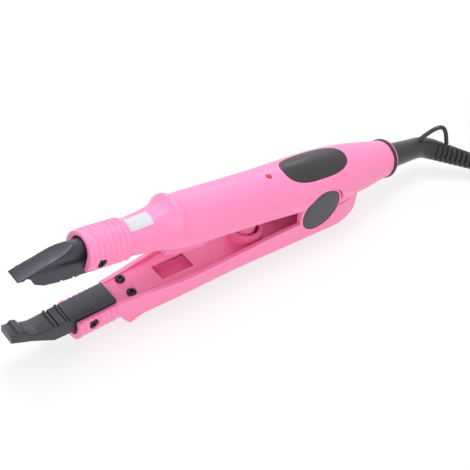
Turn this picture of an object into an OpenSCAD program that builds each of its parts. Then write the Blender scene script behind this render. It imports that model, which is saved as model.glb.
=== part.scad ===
// Hair extension fusion iron: a heated upper arm and a hinged lower lever whose jaws meet
// at the tip. All sizes are millimetres.
// The upper arm is drawn in its own axes: X runs from the tip's front edge back to the cord,
// Y is across, and Z = 0 is the axis of the handle. The lever is drawn in the same axes, as
// it lies with the jaws shut. Both are then turned about the hinge pin into the pose in
// which the open iron stands on a table, on the lever's finger stop and its heel.

/* [Stance and hinge] */
// Angle between the arms when the iron is open
open_deg = 11; // [8:0.5:13]
// Distance from the hinge pin back to the rear end of the handle
pivot_back = 54.2; // [48:0.2:60]
// Depth of the hinge pin below the handle's axis
pivot_drop = 9; // [8:0.25:10]
// Radius of the hinge pin
pin_r = 3; // [2:0.25:3.5]
// Radial play of the pin in its bushes
pin_play = 0.05; // [0.03:0.01:0.1]
// Wall of each bush
bush_wall = 1.2; // [0.8:0.1:1.6]
// Half the width of the hinge tongue under the handle
tongue_half = 10.1; // [9.4:0.1:10.4]
// Radius of the hinge tongue
tongue_r = 7.5; // [6.5:0.25:8]
// Length of each cheek of the hinge tongue
cheek_len = 4.6; // [3.5:0.1:6]
// Gap between pieces that move past each other
side_gap = 0.3; // [0.25:0.05:0.5]
// Depth of the flats that the iron stands on
foot_cut = 0.6; // [0.3:0.1:1]

/* [Handle shell] */
// Front end of the ribbed collar
collar_x = 33.5; // [31:0.5:36]
// Radius of the collar between its ribs
collar_r = 9.9; // [9.5:0.1:10.5]
// Place of the narrow waist behind the collar
waist_x = 60; // [58:0.5:62]
// Radius at the waist
waist_r = 9.15; // [8.9:0.05:9.6]
// Place where the handle reaches its grip thickness
grip_x = 105; // [100:1:110]
// Radius of the grip
grip_r = 14.05; // [13.5:0.1:14.8]
// Distance from the thickest part of the handle back to the hinge pin
hip_back = 3; // [0:0.5:8]
// Radius of the thickest part of the handle
hip_r = 15.4; // [15:0.1:16]
// Rear end of the handle shell
tail_x = 232.2; // [229:0.5:236]
// Radius of the handle at its rear end
tail_r = 10.2; // [9.8:0.1:10.6]
// Wall of the handle shell and of the lever
shell_wall = 2; // [1.6:0.1:2.4]
// Depth of the shell's lower edge below the axis
edge_drop = 5.5; // [5:0.1:5.8]
// Number of ribs round the collar
collar_ribs = 7; // [3:1:7]
// Distance from rib to rib on collar and sleeve
rib_pitch = 3; // [2.9:0.05:3.1]
// Height of a rib
rib_rise = 0.5; // [0.3:0.05:0.7]
// Radius of a rib's rounded crest
rib_r = 1.4; // [1.2:0.05:1.45]
// Place of the finger stop on the handle
stop_x = 82.6; // [80:0.5:86]
// Radius of the handle's finger stop
stop_r = 13.6; // [13:0.1:14.2]
// Height of the finger stop's centre above the handle's axis
stop_lift = 2.6; // [2:0.1:3]
// Half the width of the opening for the tip
arch_half = 6.6; // [6.4:0.1:7]
// Height of the top of that opening
arch_top = 8; // [7.8:0.1:8.3]

/* [Heating tip] */
// Slope of the flat nose on top of the tip
nose_deg = 20.3; // [18:0.1:23]
// Height of the nose flat at the front edge
nose_z = -2.95; // [-3.1:0.05:-2.7]
// Radius of the tip's rounded back
dome_r = 4.35; // [4:0.05:4.6]
// Height of the centre of the rounded back
dome_z = 3; // [2.6:0.1:3.2]
// Half the width of the tip's base where it enters the collar
tip_half = 6; // [5.6:0.1:6.2]
// Height of the top of the base
base_top = -0.8; // [-1.2:0.1:-0.4]
// Rear end of the tip
tip_end = 54.5; // [52:0.5:56]
// Radius of the ceramic heater rod
heater_r = 2; // [1.6:0.1:2.2]
// Clearance round pieces that are slid or laid into one another
slip = 0.1; // [0.05:0.01:0.15]

/* [Lower jaw] */
// Gap between the jaws when the iron is shut
jaw_gap = 0.35; // [0.25:0.05:0.6]
// Rear end of the jaw's top
jaw_end = 55.5; // [53:0.5:57]
// Half the width of the jaw's front
jaw_front_half = 4.5; // [4.2:0.1:4.8]
// Half the width of the jaw's rear
jaw_rear_half = 6.4; // [6:0.1:6.6]
// Depth of the jaw's flat underside below the handle's axis
jaw_drop = 19.3; // [18.5:0.1:20]
// Width of the grooves across both jaws
groove_w = 1.1; // [0.8:0.1:1.4]
// Depth of the grooves across both jaws
groove_d = 1; // [0.6:0.1:1.3]

/* [Lever] */
// Depth of the centre of the lever's rounded underside
lever_drop = 17.5; // [17:0.1:18]
// Front end of the lever
sleeve_x = 33.5; // [32:0.5:36]
// Radius of the lever's sleeve between its ribs
sleeve_r = 9.3; // [9.2:0.1:9.8]
// Number of ribs round the lever's sleeve
sleeve_ribs = 6; // [3:1:6]
// Half the width of the lever's grip
lever_half = 13.8; // [13.6:0.1:14.2]
// Place of the finger stop on the lever
foot_x = 63.2; // [62:0.2:65]
// Radius of the lever's finger stop
foot_r = 14.65; // [14.2:0.1:15]
// Radius of the lever's underside behind the stop
belly_r = 12.9; // [12.6:0.1:13.4]
// Distance from the hinge pin back to the thickest part of the lever
heel_back = 14.6; // [12:0.2:17]
// Radius of the thickest part of the lever
heel_r = 16.75; // [16.2:0.1:17.2]
// Distance from the hinge pin back to the rear end of the lever
heel_len = 34.4; // [33:0.2:36]
// Depth of the rim along the lever
rim_drop = 12; // [11.6:0.1:12.4]
// Depth of the rim at the heel
heel_drop = 12.3; // [12:0.1:12.8]
// Radius of the round ears at the hinge
ear_r = 13.8; // [13.4:0.1:14]
// Radius of the dark caps in the ears
cap_r = 12.4; // [11:0.1:12.6]
// Thickness of a cap
cap_t = 0.9; // [0.6:0.1:1.2]
// Depth of a cap's face below the ear's face
cap_sink = 0.3; // [0.1:0.05:0.5]
// Thickness of the plate that lines the lever
liner_t = 1.8; // [1.4:0.1:2.2]

/* [Return spring] */
// Distance from the spring back to the hinge pin
spring_back = 38.5; // [36:0.5:42]
// Radius of the spring, to the middle of its wire
spring_r = 3.3; // [3:0.1:3.5]
// Radius of the spring's wire
wire_r = 0.45; // [0.35:0.05:0.55]
// Number of curls of the spring
curls = 8; // [5:1:9]
// Outer radius of the boss that guides the spring
boss_r = 5.5; // [5.2:0.1:5.6]
// Inner radius of that boss
boss_bore = 4.5; // [4.3:0.1:4.6]
// Depth of the boss's lower end below the handle's axis
boss_drop = 20; // [18:0.5:20.5]
// Inner radius of the cup that the boss dips into
cup_bore = 6.9; // [6.8:0.1:7.2]
// Wall of the cup
cup_wall = 2.2; // [1.2:0.1:2.6]
// Depth of the cup's rim
cup_rim = 10.8; // [10:0.1:12]

/* [Plates and light] */
// Distance from the middle of the rating plate back to the hinge pin
plate_back = 4; // [0:0.5:8]
// Length of the rating plate
plate_len = 43; // [38:1:46]
// Width of the rating plate across the curve
plate_w = 18.4; // [16:0.4:20]
// Turn of plate, light and label towards the right-hand side
trim_deg = 7; // [0:1:10]
// Thickness of the rating plate
plate_t = 0.8; // [0.6:0.1:1]
// Height of the rating plate above the shell
plate_rise = 0.2; // [0.1:0.05:0.3]
// Distance from the indicator light back to the hinge pin
light_back = 35.2; // [33:0.2:38]
// Radius of the indicator light
light_r = 1.5; // [1.2:0.1:1.8]
// Length of the label behind the collar
label_len = 12.8; // [11:0.2:14]
// Width of the label, measured straight across
label_w = 7.8; // [6:0.2:9]

/* [Fasteners] */
// Radius of a visible screw's head
head_r = 2.45; // [2:0.05:2.6]
// Height of a screw's head
head_h = 1.3; // [1:0.1:1.6]
// Radius of a screw's shank
shank_r = 1.2; // [1:0.1:1.3]
// Place of the screws in the sides of the collar
tip_screw_x = 40.2; // [39:0.2:42]
// Place of the screws in the sides of the lever's sleeve
jaw_screw_x = 41.6; // [40:0.2:43]

/* [Lead] */
// Length of the dark ring behind the shell
ring_len = 2; // [1.6:0.1:3]
// Outer radius of that ring
ring_r = 10.8; // [10.4:0.1:11.2]
// Length of the shell's lip behind the ring
lip_len = 0.8; // [0.6:0.1:1.4]
// Radius of the straight neck where it leaves the handle
neck_r = 7; // [6.6:0.1:7.2]
// Length of the straight neck behind the ring
neck_len = 25; // [22:0.5:28]
// Radius of the bend in the neck, along its middle
bend_r = 18; // [15:0.5:22]
// Angle of the bend
bend_deg = 37; // [30:1:42]
// Radius of the ribbed guard at its thick end
guard_r = 5.8; // [5.4:0.1:6.2]
// Radius of the ribbed guard at its thin end
guard_tip_r = 4.3; // [3.9:0.1:4.6]
// Length of the ribbed guard
guard_len = 29; // [26:0.5:32]
// Number of ribs on the guard
guard_ribs = 8; // [5:1:9]
// Diameter of the lead
cord_d = 5; // [4.9:0.05:5.05]
// Distance from turn to turn in the tied hank
hank_pitch = 5.64; // [5.6:0.02:5.76]
// Radius of the innermost turn at the hank's rounded ends
hank_r = 15.2; // [15.2:0.1:16]
// Length of the hank's straight runs
hank_run = 44; // [40:1:48]
// Width of the tie round the hank
tie_w = 7; // [5:0.5:9]
// Length of the plug's body
plug_len = 35; // [30:0.5:38]
// Width of the plug's body
plug_w = 34; // [32:0.5:36]
// Height of the plug's body
plug_h = 13.7; // [13:0.1:15]
// Distance between the pins of the plug
pins_apart = 18.6; // [17.5:0.1:19.2]
// Diameter of a pin
pin_d = 4; // [3.8:0.1:4.8]
// Length of a pin
pin_len = 19; // [17:0.5:20]

/* [Hidden] */

pink = "#ff8cb4";
dark_pink = "#e8739c";
charcoal = "#45474b";
black = "#1b1c1e";
steel = "#9a9ca0";
brass = "#c8a850";
tiny = 0.02;
far = 400;
sides = [-1, 1];

function mix(a, b, s) = a + (b - a) * s;
// Points at given shares of the way from one corner to the next
function between(a, b, shares) = [for (s = shares) [mix(a.x, b.x, s.x), mix(a.y, b.y, s.y)]];
function curve_at(a, b, c, d, t) = 0.5 * (2 * b + (c - a) * t
    + (2 * a - 5 * b + 4 * c - d) * t * t + (3 * b - a - 3 * c + d) * t * t * t);
// A smooth line through every knot, with n steps from knot to knot
function smooth(k, n) = [for (i = [0:len(k) - 2], j = [0:n - 1])
    curve_at(k[max(i - 1, 0)], k[i], k[i + 1], k[min(i + 2, len(k) - 1)], j / n), k[len(k) - 1]];
function shifted(points, by) = [for (p = points) p + by];
function reversed(points) = [for (i = [len(points) - 1:-1:0]) points[i]];
function unit(v) = v / norm(v);

// Places that follow the handle's rear end
pivot_x = tail_x - pivot_back;
hip_x = pivot_x - hip_back;
heel_x = pivot_x + heel_back;
heel_end = pivot_x + heel_len;
spring_x = pivot_x - spring_back;
plate_x = pivot_x - plate_back;
light_x = pivot_x - light_back;

// The handle's outline: half thickness against length
collar_end = collar_x + 2.5 + rib_pitch * collar_ribs;
waist = [waist_x, waist_r];
grip = [grip_x, grip_r];
hip = [hip_x, hip_r];
tail = [tail_x, tail_r];
handle_line = smooth(concat([[collar_x, collar_r], [46, collar_r], [collar_end - 2, collar_r - 0.2],
    waist], between(waist, grip, [[0.11, 0.09], [0.22, 0.19], [0.4, 0.5], [0.54, 0.81], [0.71, 0.97]]),
    [grip], between(grip, hip, [[0.25, 0], [0.5, 0.15], [0.78, 0.6]]),
    [hip], between(hip, tail, [[0.26, 0.05], [0.52, 0.27], [0.75, 0.61], [0.92, 0.9]]), [tail]), 2);
groove_r = tail_r - 1;
lip_x = tail_x + ring_len;
lip_r = tail_r - 0.3;
tail_line = [[tail_x - 1, groove_r], [lip_x, groove_r], [lip_x, lip_r + 0.1], [lip_x + lip_len, lip_r]];
cavity_x = tip_end + 1.5;

// The stance: the lever's stop and heel touch the table together
lean_deg = atan2(heel_r - foot_r, heel_x - foot_x);
stand_deg = open_deg - lean_deg;
foot_depth = lever_drop + foot_r - pivot_drop;
pivot_h = foot_depth * cos(lean_deg) + (pivot_x - foot_x) * sin(lean_deg) - foot_cut;
shell_end = lip_x + lip_len;
front_reach = pivot_x * cos(lean_deg) + (pivot_drop - 3.2 - jaw_gap) * sin(lean_deg);
rear_reach = (shell_end - pivot_x) * cos(stand_deg) + (lip_r + pivot_drop) * sin(stand_deg);
pivot_row_x = (front_reach - rear_reach) / 2;

// Hinge
bush_r = pin_r + pin_play + bush_wall;
ear_in = tongue_half + side_gap;
cap_floor = lever_half - cap_sink - cap_t;
pocket_in = ear_in - side_gap;
pocket_r = ear_r + side_gap;
heel_reach = norm([heel_end - pivot_x, lever_drop + 3 - pivot_drop]);

// Jaws: the tip's underside, front to back, and the jaw's top below it
tip_under = [[0, -3.2], [3.1, -3.7], [4.3, -2.5], [6.9, -3.8], [8.9, -7.2], [13.8, -9.1], [20, -9.3]];
bite_z = -9.3;
groove_places = [22.6, 29];

// Screws that hold the lower cover
cover_screw_places = [[stop_x + 7.4, 7.6], [pivot_x - 20, 8.2]];
tail_screw = [tail_x - 13.2, 5.6];
plate_top = 1.6 - edge_drop;
board_z = 0.5;
board_t = 1.6;
board_x = [stop_x + 13.4, pivot_x - 30];
board_half = 6.2;
wire_z = board_z + board_t + 1.1;
clamp_x = tail_x - 32.7;

module in_body() {
    translate([pivot_row_x, 0, pivot_h]) rotate([0, stand_deg, 0])
        translate([-pivot_x, 0, pivot_drop]) children();
}

module in_lever() {
    translate([pivot_row_x, 0, pivot_h]) rotate([0, -lean_deg, 0])
        translate([-pivot_x, 0, pivot_drop]) children();
}

// The open lever's place in the handle's own axes
module opened() {
    translate([pivot_x, 0, -pivot_drop]) rotate([0, -open_deg, 0])
        translate([-pivot_x, 0, pivot_drop]) children();
}

module about_x(height = 0) {
    translate([0, 0, height]) rotate([0, 90, 0]) children();
}

// A solid turned about the X direction from a line of [place, radius]
module turned(line, height = 0, thinner = 0) {
    about_x(height) rotate_extrude($fn = 96)
        polygon(concat([[0, line[0].x]], [for (p = line) [max(p.y - thinner, tiny), p.x]],
            [[0, line[len(line) - 1].x]]));
}

// A side outline of [x, z] points, as wide as twice half
module side_slab(outline, half) {
    rotate([90, 0, 0]) linear_extrude(2 * half, center = true) polygon(outline);
}

// A plan outline made of a line of [x, half width] and its mirror image
module plan_slab(line, low, high, inset = 0) {
    translate([0, 0, low]) linear_extrude(high - low) polygon(concat(
        [for (p = line) [p.x, p.y - inset]], [for (p = reversed(line)) [p.x, inset - p.y]]));
}

module across(x, z, r, from, to) {
    translate([x, from, z]) rotate([-90, 0, 0]) cylinder(h = to - from, r = r, $fn = 64);
}

module above(z) {
    translate([-far, -far, z]) cube(2 * far);
}

module below(z) {
    translate([-far, -far, z - 2 * far]) cube(2 * far);
}

// A pan-headed screw with a cross recess. Its head stands on z = 0 and points to +Z
module pan_screw(length, radius = head_r, shank = shank_r) {
    slot_w = radius * 0.28;
    slot_d = head_h * 0.5;
    difference() {
        union() {
            cylinder(h = head_h * 0.6, r = radius, $fn = 48);
            translate([0, 0, head_h * 0.6]) cylinder(h = head_h * 0.4, r1 = radius,
                r2 = radius * 0.8, $fn = 48);
            translate([0, 0, -length]) cylinder(h = length + tiny, r = shank, $fn = 32);
        }
        for (turn = [0, 90]) rotate([0, 0, turn + 20])
            translate([-radius * 0.6, -slot_w / 2, head_h - slot_d])
                cube([radius * 1.2, slot_w, head_h]);
    }
}

// The same screw driven in from the left or the right side
module side_screw(x, y, z, side, length) {
    translate([x, side * y, z]) rotate([-90 * side, 0, 0]) pan_screw(length);
}

// A tube along points, with its rings square to the path
function ring_dirs(points) = [for (i = [0:len(points) - 1])
    unit(points[min(i + 1, len(points) - 1)] - points[max(i - 1, 0)])];

module tube(points, r, n, across_dir) {
    dirs = ring_dirs(points);
    last = len(points) - 1;
    rings = [for (i = [0:last]) let (u = unit(cross(dirs[i], across_dir)), v = cross(u, dirs[i]))
        for (k = [0:n - 1]) points[i] + r * (cos(360 * k / n + 180 / n) * v
            + sin(360 * k / n + 180 / n) * u)];
    skin = [for (i = [0:last - 1], k = [0:n - 1]) let (a = i * n + k, b = i * n + (k + 1) % n)
        each [[a, b, b + n], [a, b + n, a + n]]];
    start = [for (k = [1:n - 2]) [0, k + 1, k]];
    end = [for (k = [1:n - 2]) [last * n, last * n + k, last * n + k + 1]];
    polyhedron(concat(rings), concat(skin, start, end), convexity = 12);
}

// Handle

// The collar's ribs: full rings, later cut off at the shell's edge
module collar_rib_rings() {
    for (i = [0:collar_ribs - 1]) about_x() translate([0, 0, collar_x + 2.5 + rib_pitch * (i + 0.5)])
        rotate_extrude($fn = 96) translate([collar_r + rib_rise - rib_r, 0]) circle(rib_r, $fn = 24);
}

// The finger stop rises out of the waist from inside it
stop_foot = [stop_x - 23, waist_r - 2.95];
stop_crest = [stop_x, stop_r];
stop_line = smooth(concat([stop_foot], between(stop_foot, stop_crest,
    [[0.283, 0.149], [0.522, 0.324], [0.717, 0.473], [0.87, 0.73]]), [stop_crest,
    [stop_x + 2.4, stop_r - 0.8], [stop_x + 6, stop_r - 1.7], [stop_x + 13.4, stop_r - 2.6]]), 3);

module handle_outside() {
    turned(handle_line);
    turned(tail_line);
    turned(stop_line, stop_lift);
    collar_rib_rings();
}

module handle_cavity(inset = 0) {
    intersection() {
        turned(handle_line, 0, shell_wall + inset);
        translate([cavity_x, -far, -far]) cube([tail_x - shell_wall - cavity_x - inset, 2 * far, 2 * far]);
    }
}

module tip_tunnel() {
    tunnel = cavity_x + 1 - collar_x;
    translate([collar_x - 1, 0, arch_top - arch_half]) rotate([0, 90, 0])
        cylinder(h = tunnel + 1, r = arch_half, $fn = 64);
    translate([collar_x - 1, -arch_half, -edge_drop - 1])
        cube([tunnel + 1, 2 * arch_half, arch_top - arch_half + edge_drop + 1]);
}

// The straight sides that come down behind the ears, cut off where the open heel stops
skirt_half = 13.3;
skirt_x = [pivot_x, heel_end - 3.4];
skirt_line = concat([[skirt_x[0], skirt_half]], [for (a = [0:15:90])
    [skirt_x[1] - 9 + 9 * sin(a), skirt_half - 9 + 9 * cos(a)]]);

module skirt() {
    difference() {
        plan_slab(skirt_line, -edge_drop - 6, tiny - edge_drop);
        translate([0, 0, -tiny]) plan_slab(skirt_line, -edge_drop - 6, 2 * tiny - edge_drop, shell_wall);
        translate([skirt_x[0] - 1, -skirt_half + shell_wall, -far])
            cube([skirt_x[1] - 8 - skirt_x[0], 2 * (skirt_half - shell_wall), 2 * far]);
        intersection() {
            handle_cavity();
            above(-edge_drop);
        }
        opened() below(side_gap - heel_drop);
    }
}

module ear_pockets() {
    for (side = sides) across(pivot_x, -pivot_drop, pocket_r,
        side > 0 ? pocket_in : -far, side > 0 ? far : -pocket_in);
}

module ear_walls() {
    intersection() {
        turned(handle_line, 0, tiny);
        above(plate_top + slip);
        for (side = sides) difference() {
            across(pivot_x, -pivot_drop, pocket_r + 1.5,
                side > 0 ? pocket_in - 1.5 : -far, side > 0 ? far : 1.5 - pocket_in);
            across(pivot_x, -pivot_drop, tongue_r + side_gap, -far, far);
        }
    }
}

module on_trim(x, turn = trim_deg) {
    translate([x, 0, 0]) rotate([turn, 0, 0]) children();
}

// The plate's rounded outline, seen from above
function rounded(half_len, half_w, power = 2 / 2.7) = [for (a = [0:7.5:359])
    [half_len * sign(cos(a)) * pow(abs(cos(a)), power), half_w * sign(sin(a)) * pow(abs(sin(a)), power)]];

module plate_prism(grow = 0) {
    on_trim(plate_x) linear_extrude(far) polygon(rounded(plate_len / 2 + grow, plate_w / 2 + grow));
}

module cover_bosses() {
    for (place = concat(cover_screw_places, [tail_screw]), side = sides)
        translate([place.x, side * place.y, plate_top + slip]) cylinder(h = 11.5, r = 2.5, $fn = 32);
}

module upper_shell() {
    color(pink) in_body() difference() {
        union() {
            intersection() {
                difference() {
                    handle_outside();
                    handle_cavity();
                    tip_tunnel();
                }
                above(-edge_drop);
            }
            ear_walls();
            skirt();
            intersection() {
                cover_bosses();
                handle_cavity(-tiny);
            }
        }
        ear_pockets();
        difference() {
            plate_prism(slip);
            turned(handle_line, 0, plate_t - plate_rise);
        }
        on_trim(light_x) cylinder(h = far, r = light_r + slip / 2, $fn = 32);
        about_x() translate([0, 0, tail_x - shell_wall - 1]) cylinder(h = 9, r = neck_r + slip, $fn = 64);
        for (side = sides) {
            side_hole(tip_screw_x, -1.3, collar_r - 1.2, side);
            for (place = cover_screw_places) screw_hole(place.x, side * place.y);
            screw_hole(tail_screw.x, side * tail_screw.y);
        }
    }
}

module screw_hole(x, y) {
    translate([x, y, -far]) cylinder(h = far + 3, r = shank_r + slip / 2, $fn = 32);
}

module side_hole(x, z, seat, side) {
    translate([x, side * seat, z]) rotate([-90 * side, 0, 0]) cylinder(h = 9, r = head_r + 0.25, $fn = 48);
    translate([x, 0, z]) rotate([-90 * side, 0, 0]) cylinder(h = far, r = shank_r + slip, $fn = 32);
}

block_x = [stop_x - 4.6, stop_x + 20.4];
block_drop = 9.4;
bowl_in = 2.2;

module spring_boss() {
    difference() {
        translate([spring_x, 0, -boss_drop]) cylinder(h = boss_drop - edge_drop + 0.5, r = boss_r, $fn = 64);
        translate([spring_x, 0, -boss_drop - 1])
            cylinder(h = boss_drop - edge_drop + 1, r = boss_bore, $fn = 64);
    }
}

// The rounded underside at the tail, clear of the heel's swing
module tail_bowl() {
    difference() {
        union() {
            intersection() {
                union() {
                    turned(handle_line);
                    turned(tail_line);
                }
                below(-edge_drop - tiny);
            }
            intersection() {
                handle_cavity(slip);
                below(plate_top - 0.4);
                above(-edge_drop - 1);
            }
        }
        translate([-far, -far, -far]) cube([pivot_x + far, 2 * far, 2 * far]);
        across(pivot_x, -pivot_drop, heel_reach + side_gap, -far, far);
    }
}

module neck_room() {
    about_x() translate([0, 0, neck_in - slip])
        cylinder(h = 3.4 + 2 * slip, r = neck_flange_r + slip, $fn = 64);
    about_x() translate([0, 0, neck_in]) cylinder(h = 20, r = neck_r + slip, $fn = 64);
}

module tongue_cheeks() {
    for (side = sides) {
        from = side > 0 ? tongue_half - cheek_len : -tongue_half;
        difference() {
            union() {
                across(pivot_x, -pivot_drop, tongue_r, from, from + cheek_len);
                translate([pivot_x - tongue_r, from, -pivot_drop])
                    cube([2 * tongue_r, cheek_len, pivot_drop - edge_drop + 0.5]);
            }
            above(plate_top + 2);
        }
    }
}

board_posts = [[board_x[0] + 4, 4.6], [board_x[1] - 4, 4.6]];
clamp_y = 5.6;

// Posts that stand on the cover's plate
module posts(places, r, top) {
    for (place = places, side = sides) translate([place.x, side * place.y, plate_top - 0.8])
        cylinder(h = top - plate_top + 0.8, r = r, $fn = 32);
}

module lower_cover() {
    color(dark_pink) in_body() difference() {
        union() {
            intersection() {
                handle_cavity(slip);
                translate([0, -far, -edge_drop]) cube([far, 2 * far, plate_top + edge_drop]);
            }
            plan_slab([[block_x[0], 9.9], [block_x[0] + 6, 11.3], [block_x[1] - 2, 11.6], [block_x[1], 11]],
                -block_drop, -edge_drop - tiny);
            plan_slab([[block_x[0] + 2, 6], [block_x[1] - 2, 6]], -block_drop + 1, plate_top - 0.4);
            spring_boss();
            tongue_cheeks();
            tail_bowl();
            posts(board_posts, 1.5, board_z);
            posts(board_posts, 0.5, board_z + board_t + 0.4);
            posts([[clamp_x, clamp_y]], 2.1, wire_z + 1.15);
            translate([fuse_x, fuse_y, plate_top - 0.8])
                cylinder(h = wire_z - 2.05 - plate_top + 0.8, r = 1.6, $fn = 32);
        }
        neck_room();
        ear_pockets();
        across(pivot_x, -pivot_drop, bush_r + tiny / 2, -tongue_half - 1, tongue_half + 1);
        for (side = sides) {
            for (place = concat(cover_screw_places, [tail_screw]))
                translate([place.x, side * place.y, -far])
                    cylinder(h = far + 2, r = shank_r + slip, $fn = 32);
            translate([cover_screw_places[0].x, side * cover_screw_places[0].y, -block_drop - 1])
                cylinder(h = 2.6, r = head_r + 0.15, $fn = 32);
            translate([tail_screw.x, side * tail_screw.y, -20])
                cylinder(h = 10.8, r = head_r + 0.15, $fn = 32);
            translate([clamp_x, side * clamp_y, -1]) cylinder(h = 9, r = shank_r * 0.75 + slip / 2, $fn = 32);
        }
    }
}

// Heating tip and what is inside the handle

tip_plan = [[0, 4.25], [5, 4.4], [12, 5.2], [22, tip_half - 0.2], [30, tip_half], [tip_end, tip_half]];

module heating_tip() {
    outline = concat(tip_under, [[tip_end, bite_z + 0.5], [tip_end, dome_z], [0, dome_z]]);
    color(charcoal) in_body() difference() {
        union() {
            intersection() {
                side_slab(concat(tip_under, [[31, bite_z], [32, bite_z + 0.5], [tip_end, bite_z + 0.5],
                    [tip_end, base_top], [0, base_top]]), far);
                plan_slab(tip_plan, -far, far);
            }
            intersection() {
                side_slab(outline, dome_r - 0.1);
                plan_slab([[0, 4.25], [tip_end, 4.25]], -far, far);
            }
            translate([6, 0, dome_z]) rotate([0, 90, 0]) cylinder(h = tip_end - 6, r = dome_r, $fn = 64);
        }
        translate([0, 0, nose_z]) rotate([0, -nose_deg, 0]) translate([-50, -20, 0]) cube([far, 40, far]);
        for (x = groove_places) translate([x - groove_w / 2, -far, bite_z - 1])
            cube([groove_w, 2 * far, groove_d + 1]);
        translate([heater_x[0] - 0.2, 0, dome_z]) rotate([0, 90, 0])
            cylinder(h = far, r = heater_r + slip, $fn = 48);
        for (side = sides) translate([tip_screw_x, side * 2.8, -1.3]) rotate([-90 * side, 0, 0])
            cylinder(h = 9, r = shank_r + slip / 2, $fn = 32);
    }
}

heater_x = [24.5, 62];

module tip_insulator() {
    color("#d8d2c2") in_body() difference() {
        about_x(0) translate([0, 0, tip_end + slip]) cylinder(h = 8.5, r = 6.3, $fn = 64);
        below(plate_top + slip);
        about_x(dome_z) cylinder(h = far, r = heater_r + slip, $fn = 48);
    }
}

module heater_element() {
    color("#efe9dc") in_body() about_x(dome_z) translate([0, 0, heater_x[0]])
        cylinder(h = heater_x[1] - heater_x[0], r = heater_r, $fn = 48);
}

fuse_x = waist_x + 14;
fuse_y = 3.4;

module thermal_fuse() {
    color(steel) in_body() about_x(wire_z - 0.6) translate([0, fuse_y, fuse_x - 4.5]) {
        cylinder(h = 9, r = 1.45, $fn = 32);
        translate([0, 0, -2]) cylinder(h = 13, r = 0.4, $fn = 16);
    }
}

module control_board() {
    color("#2f6b3f") in_body() difference() {
        translate([board_x[0], -board_half, board_z])
            cube([board_x[1] - board_x[0], 2 * board_half, board_t]);
        for (place = board_posts, side = sides) translate([place.x, side * place.y, 0])
            cylinder(h = 9, r = 0.5 + slip, $fn = 24);
    }
}

function along_board(share) = board_x[0] + share * (board_x[1] - board_x[0]);

module board_components() {
    top = board_z + board_t;
    color(black) in_body() translate([0, 0, top]) {
        translate([light_x, 0, 0]) cylinder(h = 2.2, r = light_r, $fn = 32);
        translate([along_board(0.13), -5.2, 0]) cube([3, 4, 2.4]);
        translate([along_board(0.24), 2.6, 0]) cylinder(h = 7.5, r = 2.9, $fn = 48);
        translate([along_board(0.36), -5.2, 0]) cube([11, 4.4, 6.5]);
        for (i = [0:2]) translate([along_board(0.4 + 0.08 * i), 1, 1]) rotate([-90, 0, 0])
            cylinder(h = 4.4, r = 1, $fn = 24);
        translate([along_board(0.64), 0, 0]) cube([4.2, 5.6, 5]);
        translate([along_board(0.8), -5.6, 0]) cube([2.6, 3.6, 1.2]);
    }
}

module heater_wires() {
    color("#e9e4d6") in_body() for (side = sides) translate([heater_x[1] + slip / 2, side * 0.95, dome_z])
        rotate([0, 90, 0]) cylinder(h = board_x[0] + 4.5 - heater_x[1], r = 0.75, $fn = 24);
}

neck_in = tail_x - shell_wall - 3.5;
neck_flange_r = 7.7;
wires_x = board_x[1] - 3;

module supply_wires() {
    color("#3a5f9c") in_body() for (side = sides) translate([wires_x, side * 1.5, wire_z])
        rotate([0, 90, 0]) cylinder(h = neck_in - slip / 2 - wires_x, r = 1.05, $fn = 24);
}

module indicator_lens() {
    color("#e01818") in_body() on_trim(light_x) {
        translate([0, 0, 7.6]) cylinder(h = grip_r - 7.6, r = light_r, $fn = 32);
        translate([0, 0, 10.6]) cylinder(h = 1, r = light_r + 0.7, $fn = 32);
        translate([0, 0, grip_r]) sphere(light_r - tiny, $fn = 32);
    }
}

module rating_plate() {
    color("#3c3a40") in_body() intersection() {
        plate_prism();
        difference() {
            turned(handle_line, 0, -plate_rise);
            turned(handle_line, 0, plate_t - plate_rise - tiny);
        }
    }
}

module front_label() {
    color("#f4f4f2") in_body() intersection() {
        difference() {
            union() {
                turned(handle_line, 0, -0.2);
                turned(stop_line, stop_lift, -0.2);
            }
            turned(handle_line, 0, -tiny);
            turned(stop_line, stop_lift, -tiny);
        }
        on_trim(collar_end + 0.2) translate([0, -label_w / 2, 0]) cube([label_len, label_w, far]);
    }
}

module retaining_ring() {
    color(black) in_body() about_x() translate([0, 0, tail_x + slip / 2]) difference() {
        cylinder(h = ring_len - slip, r = ring_r, $fn = 96);
        translate([0, 0, -1]) cylinder(h = far, r = groove_r + slip / 2, $fn = 96);
    }
}

module cord_clamp() {
    color("#d9d3c5") in_body() difference() {
        translate([clamp_x - 3, -8.2, wire_z + 1.2]) cube([6, 16.4, 2]);
        for (side = sides) translate([clamp_x, side * clamp_y, 0])
            cylinder(h = far, r = shank_r * 0.75 + slip, $fn = 24);
    }
}

module clamp_screws() {
    color(steel) in_body() for (side = sides) translate([clamp_x, side * clamp_y, wire_z + 3.25])
        pan_screw(7, 1.8, shank_r * 0.75);
}

module tip_screws() {
    color(black) in_body() for (side = sides) side_screw(tip_screw_x, collar_r - 1.15, -1.3, side, 5.4);
}

module cover_screws() {
    color(black) in_body() for (side = sides) {
        translate([cover_screw_places[0].x, side * cover_screw_places[0].y, -block_drop + 1.55])
            mirror([0, 0, 1]) pan_screw(9);
        translate([cover_screw_places[1].x, side * cover_screw_places[1].y, -edge_drop - tiny])
            mirror([0, 0, 1]) pan_screw(7);
        translate([tail_screw.x, side * tail_screw.y, -9.25]) mirror([0, 0, 1]) pan_screw(8);
    }
}

module pivot_bushes() {
    color(brass) in_body() for (side = sides) {
        from = side > 0 ? tongue_half - cheek_len : -tongue_half;
        difference() {
            across(pivot_x, -pivot_drop, bush_r, from, from + cheek_len);
            across(pivot_x, -pivot_drop, pin_r + pin_play, -far, far);
        }
    }
}

// Lever

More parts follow.
